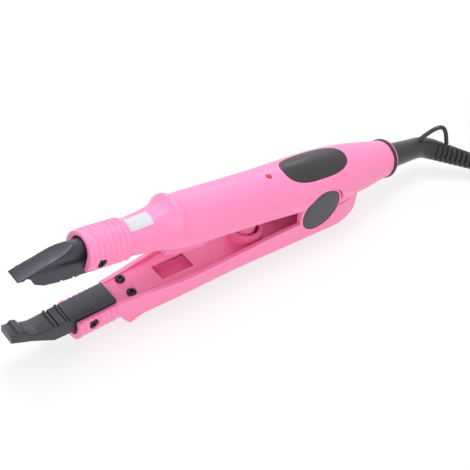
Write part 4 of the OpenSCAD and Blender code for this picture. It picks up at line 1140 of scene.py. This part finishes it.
@dataclass(frozen=True)
class Lever:
    """The lower arm's tub: ribbed sleeve, finger stop, belly, heel and hinge ears.

    Attributes:
        axis: Height of the axis that its underside is turned about.
        sleeve: Front and rear end of the sleeve.
        sleeve_r: Radius of the sleeve.
        ribs: The sleeve's ribs.
        band: Width and height of the band at the sleeve's front.
        screw: Seat of the left side screw's head.
        half: Half the width of the heel.
        corner_x: Where the heel starts to round off.
        end_x: Rear end of the heel.
        heel_power: Power of the heel's rounded outline.
        wall: Thickness of the wall.
        jaw_half: Half the width of the jaw's room.
        ear_r: Radius of the ears.
        ear_in: Inner face of an ear.
        ear_foot: Height at which the ears meet the rim.
        cap_r: Radius of the hinge caps.
        cap_in: Inner face of a cap.
        rows: Number of points from the rim to the middle of the underside.
    """

    axis: float = -17.5
    sleeve: tuple[float, float] = (33.5, 56.0)
    sleeve_r: float = 9.3
    ribs: Ribs = Ribs(36.9, 6, 8.4)
    band: tuple[float, float] = (2.6, 0.6)
    screw: tuple[float, float, float] = (41.6, 7.9, -16.4)
    half: float = 13.8
    corner_x: float = 190.0
    end_x: float = 212.4
    heel_power: float = 0.77
    wall: float = 2.0
    jaw_half: float = 6.65
    ear_r: float = 13.8
    ear_in: float = 10.4
    ear_foot: float = -12.3
    cap_r: float = 12.4
    cap_in: float = 12.6
    rows: int = 36

    @cached_property
    def _width(self) -> Profile:
        """Half the width along the arm."""
        front = [(33.5, 10.3), (55, 10.3), (55.5, 8.7), (65, 9.55), (78, 11.3), (92, 13.1)]
        front += [(105, 13.5), (150, 13.6), (164.2, 13.8), (self.corner_x, self.half)]
        heel = []
        for angle in (math.radians(3.75 * step) for step in range(1, 25)):
            x = mix(self.corner_x, self.end_x, math.sin(angle) ** self.heel_power)
            heel.append((x, self.half * max(math.cos(angle), 0.0) ** self.heel_power))
        return Profile(front + heel)

    @cached_property
    def _under(self) -> Profile:
        """The radius of the underside along the arm."""
        knots = [(56, 9.3), (59.8, 10.45), (62, 13.85), (63.2, 14.65), (64.8, 14.15), (68.2, 13.15)]
        knots += [(74.2, 12.9), (92, 13.5), (124, 13.9), (152, 15.1), (178.6, 16.25)]
        knots += [(192.6, 16.75), (200.6, 15.35), (207.6, 12.45), (211.4, 8.15), (212.8, 4.75)]
        return Profile([(33.5, 9.3), *smooth_line(knots, 6)])

    @cached_property
    def _rim(self) -> Profile:
        """The height of the rim along the arm."""
        front = [(33, -12.5), (54, -12.5), (56, -12), (150, -12)]
        return Profile([*front, (164.2, self.ear_foot), (213, self.ear_foot)])

    def width(self, x: float, inset: float = 0.0) -> float:
        """Returns half the width at a place, moved in by a wall."""
        if inset and x > self.corner_x - 2:
            share = (x - self.corner_x) / (self.end_x - inset - self.corner_x)
            x = mix(self.corner_x, self.end_x, min(share, 1.0))
        half = self._width.at(x)
        half = half * (1 - inset / self.half) if x > self.corner_x else half - inset
        return max(half, 0.0)

    def _half_section(self, x: float, inset: float) -> list[Vector]:
        """Returns the left half of a section, from the rim down to the middle."""
        rim, radius = self._rim.at(x), self._under.at(x) - inset
        if x >= self.sleeve[1] - 0.5:
            half = self.width(x, inset)
            start = -math.degrees(math.acos(min(half / radius, 1.0)))
            line = [Vector((0, half, rim)), *arc(radius, self.axis, start, -90, 50)]
            if half > radius:
                line.insert(1, Vector((0, half, self.axis)))
        elif inset:
            start = math.degrees(math.acos(self.jaw_half / radius))
            line = [Vector((0, self.jaw_half, rim)), *arc(radius, self.axis, start, -90, 40)]
        else:
            radius = self.ribs.over(x, radius)
            if x < self.sleeve[0] + self.band[0]:
                radius += self.band[1]
            start = math.degrees(math.asin((rim - self.axis) / radius))
            line = arc(radius, self.axis, start, -90, 60)
        return evenly(line, self.rows)

    def _ring(self, x: float) -> list[Vector]:
        """Returns one section of the wall: round the outside and back along the inside."""
        left = self._half_section(x, 0.0)
        outside = left + [Vector((0, -p.y, p.z)) for p in reversed(left[:-1])]
        within = self._half_section(x, self.wall)
        inside = [Vector((0, -p.y, p.z)) for p in within] + list(reversed(within[:-1]))
        return at_x(x, outside + inside)

    def form(self) -> Form:
        """Returns the tub with its ears and the seats of the side screws."""
        places = stations((33.5, 36.1, 0.5), (36.12, 55.4, 0.2), (55.6, 70, 0.4), (70, 190, 2.0))
        places += stations((190, self.end_x - self.wall - 1.5, 0.8))
        form = Form().loft([self._ring(x) for x in places]).loft(self._heel(places[-1]))
        wall = [(p.y, p.z) for p in arc(self.sleeve_r - 1.6, self.axis, 195.5, 344.5, 40)]
        form.prism(wall, self.sleeve[0] + 0.02, self.sleeve[0] + 2.0, "X")
        for place in both_sides(*self.screw):
            form.cut(screw_seat(place))
        for side, middle in zip(SIDES, both_sides(HINGE.x, self.cap_in - 0.05, HINGE.z)):
            form.fuse(self._ear(side))
            form.cut(Form().drum(self.cap_r + 0.1, 0, side * 3, middle, "Y", 96))
        return form

    def _heel(self, start: float) -> list[list[Vector]]:
        """Returns the solid sections that close the heel, narrowing to its end."""
        rings = []
        for i in range(17):
            x = mix(start - 0.3, self.end_x, math.sin(math.pi / 2 * i / 16))
            left = self._half_section(min(x, self.end_x - 0.02), 0.0)
            rings.append(at_x(x, mirrored([Vector((0, 0, left[0].z)), *left])))
        return rings

    def _ear(self, side: int) -> Form:
        """Returns the ear on one side."""
        x, drop = HINGE.x, HINGE.z - self.ear_foot
        foot = math.sqrt(self.ear_r**2 - drop**2)
        start = 2 - math.degrees(math.asin(drop / self.ear_r))
        crest = arc(self.ear_r, HINGE.z, start, 180 - start, 90)
        outline = [(x - foot, self.ear_foot - 6.7), (x - foot, self.ear_foot)]
        outline += [(x - point.y, point.z) for point in crest]
        outline += [(x + foot, self.ear_foot), (x + foot, self.ear_foot - 6.7)]
        ear = Form().prism(outline, *sorted((side * self.ear_in, side * self.half)), "Y")
        ear.round_edges(0.45, 60, 3)
        return ear

    def cap(self, side: int) -> Form:
        """Returns the dark hinge cap on one side, slightly domed."""
        radius, middle = self.cap_r, Vector((HINGE.x, side * self.cap_in, HINGE.z))
        line = [(0, 0), (0, radius), (0.55, radius), (0.74, radius - 0.12), (0.82, radius - 0.4)]
        line += [(0.85, 9.0), (0.885, 5.0), (0.9, 0)]
        return Form().turned([(side * depth, r) for depth, r in line], middle, "Y", 96)


@dataclass(frozen=True)
class Liner:
    """The plate in the lever, with its pocket and its round cup, in a darker pink that is painted
    shade.

    Attributes:
        line: Its top from front to rear.
        thick: Its thickness.
        pocket: Front and rear end of the pocket.
        pocket_half: Half the width of the pocket.
        pocket_floor: Height of its floor.
        tray_wall: Thickness of the pocket's walls and floor.
        cup_x: Middle of the cup.
        cup_r: Inner and outer radius of the cup.
        cup_z: Height of the cup's rim and floor.
    """

    line: Line = (
        *((56.1, -12.1), (62.5, -12.7), (68.6, -12.7), (84, -14.5)),
        *((103, -15.4), (139.5, -17.4), (160, -20.5), (197, -20.5)),
    )
    thick: float = 1.8
    pocket: tuple[float, float] = (84.0, 103.0)
    pocket_half: float = 5.0
    pocket_floor: float = -20.0
    tray_wall: float = 1.4
    cup_x: float = 139.0
    cup_r: tuple[float, float] = (6.9, 9.1)
    cup_z: tuple[float, float] = (-10.8, -21.2)

    def form(self, lever: Lever) -> Form:
        """Returns the liner, cut to the lever's inside.

        Args:
            lever: The lever that it lies in.
        """
        top, rings = Profile(self.line), []
        for x in stations((56.1, 62.5, 1.6), (62.5, 84, 1.8), (84, 160, 2.0), (160, 197, 2.0)):
            half, level = lever.width(x, lever.wall + 0.12), top.at(x)
            across = [mix(half, -half, i / 12) for i in range(13)]
            below = [Vector((x, y, level - self.thick)) for y in reversed(across)]
            rings.append([Vector((x, y, level)) for y in across] + below)
        form = Form().loft(rings)
        (start, end), half, wall = self.pocket, self.pocket_half, self.tray_wall
        pocket = (start, -half, self.pocket_floor), (end, half, -5)
        form.cut(Form().box(*pocket))
        form.cut(Form().drum(8, -8, 8, Vector((self.cup_x, 0, -18)), "Z"))
        form.round_edges(0.25, 50)
        foot = (start - wall, -half - wall, self.pocket_floor - wall)
        tray = Form().box(foot, (end + wall, half + wall, -16.3))
        tray.cut(Form().box(*pocket))
        form.join(tray)
        form.join(self._cup())
        return form

    def _cup(self) -> Form:
        """Returns the round cup."""
        inner, outer = self.cup_r
        rim, floor = self.cup_z
        line = [(floor - 1.5, 0), (floor - 1.5, outer), (rim - 0.5, outer)]
        line += [(rim - 0.15, outer - 0.15), (rim, outer - 0.5), (rim, inner + 0.5)]
        line += [(rim - 0.15, inner + 0.15), (rim - 0.5, inner), (floor, inner), (floor, 0)]
        return Form().turned(line, Vector((self.cup_x, 0, 0)), "Z")


@dataclass(frozen=True)
class Jaws:
    """The hot tip, with two grooves in its underside, and the jaw whose ridges fit them.

    Attributes:
        under: The tip's underside from front to back, with its two grooves.
        plan: Half the width of the tip along the arm.
        jaw_plan: Half the width of the lower jaw along the arm.
        nose: Height and slope of the tip's flat nose.
        dome: Radius and height of the axis of the tip's round back.
        base_top: Height of the tip's shoulders.
        gap: Gap between the shut jaws.
        slots: Place and width of the slots behind the jaw's two ridges.
        slot_depth: Depth of these slots.
        ease: Reach of the small rounds along both profiles.
    """

    under: Line = (
        *((0, -3.2), (3.1, -3.7), (4.3, -2.5), (6.9, -3.8), (8.9, -7.2), (13.8, -9.1)),
        *((20, -9.3), (22.0, -9.3), (22.06, -8.3), (23.14, -8.3), (23.2, -9.3)),
        *((28.4, -9.3), (28.46, -8.3), (29.54, -8.3), (29.6, -9.3), (31, -9.3)),
    )
    plan: Line = ((0, 4.25), (5, 4.4), (12, 5.2), (22, 5.8), (30, 6.0), (54.5, 6.0))
    jaw_plan: Line = ((0, 4.5), (12, 5.0), (26, 5.75), (55.5, 6.4), (72, 6.4))
    nose: tuple[float, float] = (-2.95, 20.3)
    dome: tuple[float, float] = (4.35, 3.0)
    base_top: float = -0.8
    gap: float = 0.35
    slots: Line = ((23.2, 1.3), (29.6, 0.7))
    slot_depth: float = 1.0
    ease: float = 0.22

    def tip(self) -> Form:
        """Returns the hot tip."""
        under = Profile(eased([*self.under, (32, -8.8), (54.5, -8.8)], self.ease))
        plan = Profile(smooth_line(self.plan, 4))
        radius, height = self.dome
        rings = []
        for x in sorted({*under.places(), *stations((33, 54.5, 2.0))}):
            low, half = under.at(x), plan.at(x)
            corner = min(0.5, (self.base_top - low) * 0.45)
            box = rounded_box(half, low, self.base_top, corner)
            left = [Vector((0, 0, low)), *box[18:24], *box[0:6]]
            left.append(Vector((0, radius - 0.1, self.base_top + 0.15)))
            left += arc(radius, height, -12, 90, 24)
            rings.append(at_x(x, mirrored(evenly(left, 56))))
        form = Form().loft(rings)
        level, slope = self.nose
        tilt = math.radians(slope)
        form.shave(Vector((0, 0, level)), Vector((-math.sin(tilt), 0, math.cos(tilt))), 0.45)
        return form

    def jaw(self) -> Form:
        """Returns the lower jaw with its lip, its ridges with their slots, and its shank."""
        slots, top = dict(self.slots), []
        for x, level in self.under:
            z = level - self.gap
            if x in slots:
                end, floor = x + slots[x], z - self.slot_depth
                top += [(x, floor), (end, floor), (end + 0.06, z)]
            else:
                top.append((x, z))
        top += [(55.45, -9.65), (55.55, -15.1), (70, -15.4)]
        foot = [(0, -8.0), (0.3, -8.1), (6, -10.8), (10.6, -12.8), (22.3, -19.3), (70, -19.3)]
        upper, lower = Profile(eased(top, self.ease)), Profile(eased(foot, 0.6))
        plan = Profile(smooth_line(self.jaw_plan, 4))
        places = sorted({*upper.places(), *lower.places(), *stations((33, 69, 2.0))})
        return Form().loft(
            [at_x(x, rounded_box(plan.at(x), lower.at(x), upper.at(x), 0.5)) for x in places]
        )


@dataclass(frozen=True)
class Screw:
    """A pan-headed screw with a cross recess.

    Attributes:
        head_r: Radius of the head.
        head_h: Height of the head.
        shank_r: Radius of the shank.
        slot: Half the length and half the width of a slot of the recess.
        slot_floor: Height of the recess's floor.
    """

    head_r: float = 2.45
    head_h: float = 1.3
    shank_r: float = 1.15
    slot: tuple[float, float] = (1.45, 0.34)
    slot_floor: float = 0.5

    def form(self, places: Iterable[Vector], way: Vector, length: float) -> Form:
        """Returns screws that stand in one form.

        Args:
            places: The seats of their heads, each on its own side where the screws point sideways.
            way: Direction in which a head on the left points.
            length: Length of the shanks.
        """
        crown = [(0.45, 1.0), (0.75, 0.93), (0.93, 0.78), (1.0, 0.55)]
        line = [(-length, 0), (-length, self.shank_r), (0, self.shank_r), (0, self.head_r)]
        line += [(self.head_h * h, self.head_r * r) for h, r in crown]
        line.append((self.head_h, 0))
        reach, half = self.slot
        together = Form()
        for place in places:
            screw = Form().turned(line, Vector(), "Z", 40)
            for turn in (20, 110):
                slot = Form().box((-reach, -half, self.slot_floor), (reach, half, 3))
                screw.cut(slot.turn(turn, "Z"))
            heading = Vector((way.x, math.copysign(1, place.y) * way.y, way.z))
            stand = Matrix.Translation(place) @ heading.to_track_quat("Z", "Y").to_matrix().to_4x4()
            bmesh.ops.transform(screw.bm, matrix=stand, verts=screw.bm.verts[:])
            together.join(screw)
        return together


@dataclass(frozen=True)
class Guard:
    """The lead's neck, its bend and the slotted strain relief, with the hanging loop.

    Attributes:
        start_x: Where the neck leaves the handle.
        bend_x: Where the bend starts.
        bend_r: Radius of the bend along its middle.
        bend_deg: Angle of the bend.
        roll_deg: Turn of the bend about the arm's axis.
        length: Length of the slotted part.
        ends_r: Radius of the slotted part at its thick and its thin end.
        pitch: Distance from slot to slot on one side.
        slot: Width of a slot.
        depth: Depth of a slot.
        slot_turn: Turn of the rows of slots round the guard, in radians.
        bridge: Share of a slot's quarter over which its ends rise to the bridges.
        soft: Half the width over which a slot's edge falls.
        plain: Length of the plain ends before the first slot and behind the last.
        loop_r: Radius of the hanging loop's own thickness.
    """

    start_x: float = 233.0
    bend_x: float = 260.0
    bend_r: float = 18.0
    bend_deg: float = 37.0
    roll_deg: float = -79.0
    length: float = 29.0
    ends_r: tuple[float, float] = (5.8, 4.3)
    pitch: float = 3.1
    slot: float = 1.15
    depth: float = 1.25
    slot_turn: float = 0.6
    bridge: float = 0.3
    soft: float = 0.12
    plain: tuple[float, float] = (1.4, 3.2)
    loop_r: float = 1.22

    def _path(self) -> list[Vector]:
        """Returns the middle line of the neck, the bend and the slotted part."""
        roll = Matrix.Rotation(math.radians(self.roll_deg), 3, "X")
        points = [Vector((x, 0, 0)) for x in stations((self.start_x, self.bend_x, 1.0))]
        for step in range(1, 25):
            a = math.radians(self.bend_deg * step / 24)
            bent = Vector((self.bend_r * math.sin(a), 0, self.bend_r * (math.cos(a) - 1)))
            points.append(Vector((self.bend_x, 0, 0)) + roll @ bent)
        a = math.radians(self.bend_deg)
        way = roll @ Vector((math.cos(a), 0, -math.sin(a)))
        count = round(self.length / 0.16)
        return points + [points[-1] + way * self.length * (i + 1) / count for i in range(count)]

    def form(self) -> Form:
        """Returns the guard."""
        neck = Profile(smooth_line([(0, 7), (2, 7), (10, 6.65), (21, 6.05), (27, 5.85)], 6))
        bend_end = self.bend_x - self.start_x + self.bend_r * math.radians(self.bend_deg)

        def radius(length: float, angle: float) -> float:
            """Returns the radius at a length along the guard and an angle round it."""
            past = length - bend_end - self.plain[0]
            if past < 0:
                return neck.at(length)
            whole = mix(*self.ends_r, min(past / self.length, 1.0))
            if past > self.length - self.plain[1]:
                return whole
            around = angle + self.slot_turn
            stagger = 0.0 if abs(math.cos(around)) > math.sqrt(0.5) else 0.5
            off = abs(((past / self.pitch + stagger) % 1.0) - 0.5) * self.pitch
            open_share = min(max((self.slot / 2 + self.soft - off) / (2 * self.soft), 0.0), 1.0)
            return whole - self.depth * open_share * min(abs(math.cos(2 * around)) / self.bridge, 1.0)

        return Form().tube(self._path(), radius, 40)

    def loop(self) -> Form:
        """Returns the thin loop that the iron hangs from."""
        knots = [(260.8, 0.3, 4.7), (263.3, -0.6, 8.1), (266.4, -1.8, 11.8)]
        knots += [(268.8, -2.7, 13.7), (270.9, -3.5, 14.5), (272.8, -4.4, 14)]
        knots += [(274.3, -5.3, 12.1), (275.5, -6.2, 9.4), (277, -7.6, 4.6)]
        return Form().tube(smooth_line(knots, 6), lambda length, angle: self.loop_r, 16)


@dataclass(frozen=True)
class Spring:
    """The coil spring between the handle's boss and the lever's cup.

    Attributes:
        x: Its place along the handle.
        top: Height of its upper end.
        low: Height of its lower end, with the iron open.
        coil_r: Radius to the middle of the wire.
        wire_r: Radius of the wire.
        curls: Number of curls, of which the first and the last lie shut.
        shut: Share of its length that it keeps with the jaws shut; not used.
    """

    x: float = 139.5
    top: float = -6.2
    low: float = -27.43
    coil_r: float = 3.3
    wire_r: float = 0.43
    curls: int = 8
    shut: float = 0.65

    def form(self) -> Form:
        """Returns the spring, whose end curls lie a little over a wire's thickness apart."""
        end, steps, lift = 0.9, 20, 2.3 * self.wire_r
        points = []
        for i in range(self.curls * steps + 1):
            turn = i / steps
            share = (min(max(turn, end), self.curls - end) - end) / (self.curls - 2 * end)
            dead = lift * (min(turn, end) / end - 1 + max(turn - self.curls + end, 0) / end)
            angle = math.tau * turn
            height = mix(self.top - lift, self.low + lift, share) - dead
            out = Vector((math.cos(angle), math.sin(angle), 0)) * self.coil_r
            points.append(Vector((self.x, 0, height)) + out)
        return Form().tube(points, lambda length, angle: self.wire_r, 10)

    def yield_to_lever(self, piece: bpy.types.Object) -> None:
        """Gives the finished spring a mesh of its own."""
        stance = STANCE.of(Body.HANDLE)
        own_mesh(piece)


@dataclass
class Studio:
    """A pale floor, soft lamps and the photograph's viewpoint.

    Attributes:
        eye: Place of the camera.
        turn_deg: Turn of the camera about X, Y and Z.
        lens_mm: Focal length on a sensor 36 mm wide.
        floor_half: Half the width of the floor.
        floor_glow: Share of even white in the floor as the camera sees it.
        sky: Strength of the light from all round.
    """

    eye: tuple[float, float, float] = (-0.29989, -0.31739, 0.46804)
    turn_deg: tuple[float, float, float] = (44.369, -6.727, -37.861)
    lens_mm: float = 95.564
    floor_half: float = 6.0
    floor_glow: float = 0.7
    sky: float = 0.55

    def camera(self) -> None:
        """Puts the camera where the photograph was taken from."""
        data = bpy.data.cameras.new("camera")
        data.lens, data.sensor_width = self.lens_mm, 36.0
        data.clip_start, data.clip_end = 0.01, 50.0
        camera = placed("camera", data)
        camera.location = self.eye
        camera.rotation_euler = Euler([math.radians(turn) for turn in self.turn_deg])
        bpy.context.scene.camera = camera

    @staticmethod
    def _lamp(name: str, place: Vector, size: tuple[float, float], watts: float) -> None:
        """Hangs one soft lamp that shines at the iron.

        Args:
            name: Name of the lamp.
            place: Where it hangs.
            size: Its width and height.
            watts: Its power.
        """
        data = bpy.data.lights.new(name, "AREA")
        data.shape, data.size, data.size_y, data.energy = "RECTANGLE", *size, watts
        lamp = placed(name, data)
        lamp.location = place
        aim = Vector((0.02, 0.0, 0.02))
        lamp.rotation_euler = (aim - place).to_track_quat("-Z", "Y").to_euler()

    def lamps(self) -> None:
        """Hangs a large lamp above, a softer one in front and a strip behind."""
        self._lamp("overhead", Vector((0.10, 0.12, 0.90)), (0.55, 0.40), 4.6)
        self._lamp("front", Vector((-0.55, -0.60, 0.45)), (0.70, 0.50), 2.6)
        self._lamp("rear", Vector((0.40, 0.65, 0.50)), (0.60, 0.25), 1.8)

    def sky_light(self) -> None:
        """Lights the scene evenly, and shows white behind it."""
        world = bpy.data.worlds.new("studio")
        bpy.context.scene.world = world
        tree = Tree(world)
        light, shown = tree.nodes["Background"], tree.node("Background")
        for back, strength in ((light, self.sky), (shown, 1.0)):
            back.inputs["Color"].default_value = (1, 1, 1, 1)
            back.inputs["Strength"].default_value = strength
        self._blend(tree, self._seen(tree), light, shown, "World Output")

    @staticmethod
    def _blend(
        tree: Tree,
        share: bpy.types.NodeSocket,
        first: bpy.types.Node,
        second: bpy.types.Node,
        output: str,
    ) -> None:
        """Sends a share of the way from one shader to another to an output."""
        mixed = tree.node("MixShader")
        for start, end in zip((share, first.outputs[0], second.outputs[0]), mixed.inputs):
            tree.link(start, end)
        tree.link(mixed.outputs[0], tree.nodes[output].inputs["Surface"])

    @staticmethod
    def _seen(tree: Tree) -> bpy.types.NodeSocket:
        """Returns a socket that is 1 for rays that show a surface, also in gloss or glass."""
        path = tree.node("LightPath")
        total = path.outputs["Is Camera Ray"]
        for name in ("Is Glossy Ray", "Is Transmission Ray"):
            most = tree.node("Math", operation="MAXIMUM")
            tree.link(total, most.inputs[0])
            tree.link(path.outputs[name], most.inputs[1])
            total = most.outputs[0]
        return total

    def floor(self) -> None:
        """Lays a white floor that keeps a faint shadow of the iron."""
        mesh = bpy.data.meshes.new("floor")
        bm = bmesh.new()
        bmesh.ops.create_grid(bm, x_segments=1, y_segments=1, size=self.floor_half)
        bm.to_mesh(mesh)
        bm.free()
        material = bpy.data.materials.new("studio_floor")
        tree = Tree(material)
        paint = tree.nodes["Principled BSDF"]
        paint.inputs["Base Color"].default_value = (0.9, 0.9, 0.9, 1)
        paint.inputs["Roughness"].default_value = 0.9
        paint.inputs["Specular IOR Level"].default_value = 0.1
        glow = tree.node("Emission")
        glow.inputs["Strength"].default_value = 1.0
        share = tree.node("Math", operation="MULTIPLY")
        share.inputs[1].default_value = self.floor_glow
        tree.link(self._seen(tree), share.inputs[0])
        self._blend(tree, share.outputs[0], paint, glow, "Material Output")
        mesh.materials.append(material)
        placed("floor", mesh)

    def built(self) -> None:
        """Builds the whole studio."""
        self.camera()
        self.lamps()
        self.sky_light()
        self.floor()
        bpy.context.scene.view_settings.view_transform = "Standard"


@dataclass
class Lead:
    """The mains lead: out of the guard, through a tied hank, and back over it to its plug.

    Attributes:
        thick: Diameter of the lead.
        guard_end: Where it leaves the guard, in the frame.
        guard_way: Direction in which it leaves.
        pitch: Distance from turn to turn in the hank.
        inner_r: Radius of the innermost turn at the hank's rounded ends.
        run: Length of the hank's straight runs.
        centre: Middle of the hank on the floor.
        layer: Turns to a layer.
        layers: Number of layers.
        lift: Height at which the hank lies on its tie.
        steps: Points to a turn.
        plug: Where the lead enters the plug.
        rise: Height that the lead climbs while it turns back to the plug.
    """

    thick: float = 5.0
    guard_end: Vector = field(default_factory=lambda: Vector((174.396, -20.6899, 9.02933)))
    guard_way: Vector = field(default_factory=lambda: Vector((0.766253, -0.590758, -0.252708)))
    pitch: float = 5.64
    inner_r: float = 15.2
    run: float = 44.0
    centre: tuple[float, float] = (244.0, -12.6)
    layer: float = 1.75
    layers: int = 4
    lift: float = 0.6
    steps: int = 24
    plug: Vector = field(default_factory=lambda: Vector((272.0, 3.33, 29.47)))
    rise: float = 3.7

    @staticmethod
    def _climb(share: float) -> float:
        """Returns an even rise from 0 to 1 over a share from 0 to 1."""
        held = min(max(share, 0.0), 1.0)
        return held * held * (3 - 2 * held)

    @staticmethod
    def _bow(start: Vector, way: Vector, end: Vector, reach: tuple[float, float]) -> list[Vector]:
        """Returns an even curve that leaves in one direction and arrives along X.

        Args:
            start: Its first point.
            way: Direction in which it leaves.
            end: Its last point.
            reach: How far it follows the direction at each end.
        """
        near, far = start + reach[0] * way, end - Vector((reach[1], 0, 0))
        bow = []
        for t in (i / 8 for i in range(9)):
            left, right = start * (1 - t) ** 3, near * 3 * t * (1 - t) ** 2
            bow.append(left + right + far * 3 * t * t * (1 - t) + end * t**3)
        return bow

    def _hank_point(self, turn: float) -> Vector:
        """Returns the point of the hank at a number of turns from its start.

        Each half turn has eleven parts of round end and one part of straight run.
        """
        halves = 2 * turn + 11 / 12
        half = math.floor(halves + 1e-6)
        along, side = 12 * (halves - half), 1 if half % 2 else -1
        angle = math.radians(180 + 90 * side + 180 * min(along / 11, 1))
        reverse = min(max(round(turn / self.layer), 1), self.layers - 1)
        away = abs(turn - self.layer * reverse)
        swing = 2 * away * away + 0.125 if away < 0.25 else away
        radius = self.inner_r + self.pitch * (swing if reverse % 2 else self.layer - swing)
        risen = sum(self._climb(2 * (turn - self.layer * n) + 0.5) for n in range(1, self.layers))
        x = self.centre[0] + side * self.run * (0.5 - max(along - 11, 0)) + radius * math.cos(angle)
        y = self.centre[1] + radius * math.sin(angle)
        return Vector((x, y, self.thick / 2 + self.lift + self.pitch * risen))

    def route(self) -> list[Vector]:
        """Returns the points that the lead follows, in metres."""
        straight = Vector((3, 0, 0))
        count = round(self.layer * self.layers * self.steps)
        hank = [self._hank_point(i / self.steps) for i in range(count + 1)]
        entry, leave = hank[0] - straight, hank[-1] + straight
        lead = self._bow(self.guard_end, self.guard_way, entry - straight, (16, 20))
        below = Vector((self.plug.x - 6, leave.y, self.plug.z - self.rise))
        climb = self._bow(leave + straight, Vector((1, 0, 0)), below, (13, 13))
        radius = (self.plug.y - leave.y) / 2
        back = []
        for i in range(11):
            angle = math.radians(18 * i)
            away = (math.sin(angle) * radius, -(1 + math.cos(angle)) * radius)
            back.append(self.plug + Vector((*away, self.rise * (self._climb(i / 10) - 1))))
        return [point * MM for point in (*lead, entry, *hank, leave, *climb, *back)]

    def built(self, dresser: Dresser, nodes: dict[str, bpy.types.Object]) -> None:
        """Args:
            dresser: The finishes.
            nodes: The construction's nodes; not used.
        """
        route = self.route()
        curve = bpy.data.curves.new("mains_lead", "CURVE")
        curve.dimensions = "3D"
        curve.bevel_depth = self.thick / 2 * MM
        curve.bevel_resolution = 5
        curve.use_fill_caps = True
        spline = curve.splines.new("POLY")
        spline.points.add(len(route) - 1)
        for point, place in zip(spline.points, route):
            point.co = (*place, 1.0)
        cable = placed("mains_lead", curve)
        dresser.piece(cable, Finish.CORD, Body.HANDLE, "power_cord", "cord_hank", "cord_tail")
        length = sum((b - a).length for a, b in zip(route, route[1:]))
        tuple(route[0])
        LOG.info("mains lead: %.3f m in %d points", length, len(route))


NODE_FINISHES = {
    Finish.PINK: ("upper_shell", "lever_shell"),
    Finish.PINK_PAINTED_SHADE: ("lower_cover", "lever_liner"),
    Finish.TIP: ("heating_tip", "lower_jaw"),
    Finish.INSULATOR: ("tip_insulator",),
    Finish.CERAMIC: ("heater_element",),
    Finish.TINNED: ("thermal_fuse",),
    Finish.BOARD: ("control_board",),
    Finish.PARTS: ("board_components",),
    Finish.WIRE_WHITE: ("heater_wires",),
    Finish.WIRE_BLUE: ("supply_wires",),
    Finish.LENS: ("indicator_lens",),
    Finish.PLATE: ("rating_plate",),
    Finish.LABEL: ("front_label",),
    Finish.BLACK: ("retaining_ring", "plug_body"),
    Finish.CLAMP: ("cord_clamp",),
    Finish.ZINC: ("clamp_screws",),
    Finish.SCREW: ("tip_screws", "cover_screws", "jaw_screws", "jaw_side_screws"),
    Finish.BRASS: ("pivot_bushes",),
    Finish.PIN: ("pivot_pin",),
    Finish.CAP: ("pivot_cap_left", "pivot_cap_right"),
    Finish.RUBBER: ("cord_guard", "hanging_loop", "cord_tie"),
    Finish.CORD: ("power_cord", "cord_hank", "cord_tail"),
    Finish.NICKEL: ("plug_pins",),
}


def heads(seat: Sequence[float]) -> list[Vector]:
    """Returns the places of the two side screws' heads, just off the floors of their seats."""
    return both_sides(seat[0], seat[1] + HEAD_LIFT, seat[2])


def shaped_pieces() -> Iterator[tuple[str, Form, Finish, Body, tuple[str, ...]]]:
    """Makes the pieces one by one.

    Yields:
        Each piece's name, form, finish and arm, and the construction's nodes that it replaces.
    """
    handle, lever, jaws, screw, guard = Handle(), Lever(), Jaws(), Screw(), Guard()
    sideways, upright = Vector((0, 1, 0)), Vector((0, 0, 1))
    upper, lower = Body.HANDLE, Body.LEVER
    yield "handle_casing", handle.form(), Finish.PINK, upper, ("upper_shell",)
    yield "lever_tub", lever.form(), Finish.PINK, lower, ("lever_shell",)
    yield "lever_plate", Liner().form(lever), Finish.PINK_PAINTED_SHADE, lower, ("lever_liner",)
    yield "hot_tip", jaws.tip(), Finish.TIP, upper, ("heating_tip",)
    yield "jaw", jaws.jaw(), Finish.TIP, lower, ("lower_jaw",)
    yield "hinge_cap_left", lever.cap(1), Finish.CAP, lower, ("pivot_cap_left",)
    yield "hinge_cap_right", lever.cap(-1), Finish.CAP, lower, ("pivot_cap_right",)
    yield "oval_plate", RatingPlate().form(handle.line), Finish.PLATE, upper, ("rating_plate",)
    yield "collar_label", handle.label(), Finish.LABEL, upper, ("front_label",)
    yield "red_light", handle.lens(), Finish.LENS, upper, ("indicator_lens",)
    yield "tail_ring", handle.ring(), Finish.BLACK, upper, ("retaining_ring",)
    yield "lead_guard", guard.form(), Finish.RUBBER, upper, ("cord_guard",)
    yield "guard_loop", guard.loop(), Finish.RUBBER, upper, ("hanging_loop",)
    collar = screw.form(heads(handle.screw), sideways, 5.4)
    yield "collar_screws", collar, Finish.SCREW, upper, ("tip_screws",)
    plate = screw.form(both_sides(65.5, 4.94, -12.68), upright, 5.6)
    yield "plate_screws", plate, Finish.SCREW, lower, ("jaw_screws",)
    sleeve = screw.form(heads(lever.screw), sideways, 4.2)
    yield "sleeve_screws", sleeve, Finish.SCREW, lower, ("jaw_side_screws",)
    yield "coil_spring", Spring().form(), Finish.SPRING, upper, ("return_spring",)


def main() -> None:
    """Builds the iron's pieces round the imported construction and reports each."""
    logging.basicConfig(level=logging.INFO, format="%(name)s: %(message)s")
    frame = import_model()
    nodes = frame["nodes"]
    dresser = Dresser()
    Studio().built()
    Lead().built(dresser, nodes)
    for finish, names in NODE_FINISHES.items():
        for name in names:
            dresser.node(nodes[name], finish)
    for name, form, finish, body, replaced in shaped_pieces():
        piece = form.finished(name, body)
        dresser.piece(piece, finish, body, *replaced)
        if name == "coil_spring":
            Spring().yield_to_lever(piece)
        low, high = (
            [round(end(places) / MM, 1) for places in zip(*piece.bound_box)] for end in (min, max)
        )
        LOG.info("%s: %d faces, %s to %s mm", name, len(piece.data.polygons), low, high)


if __name__ == "__main__":
    main()
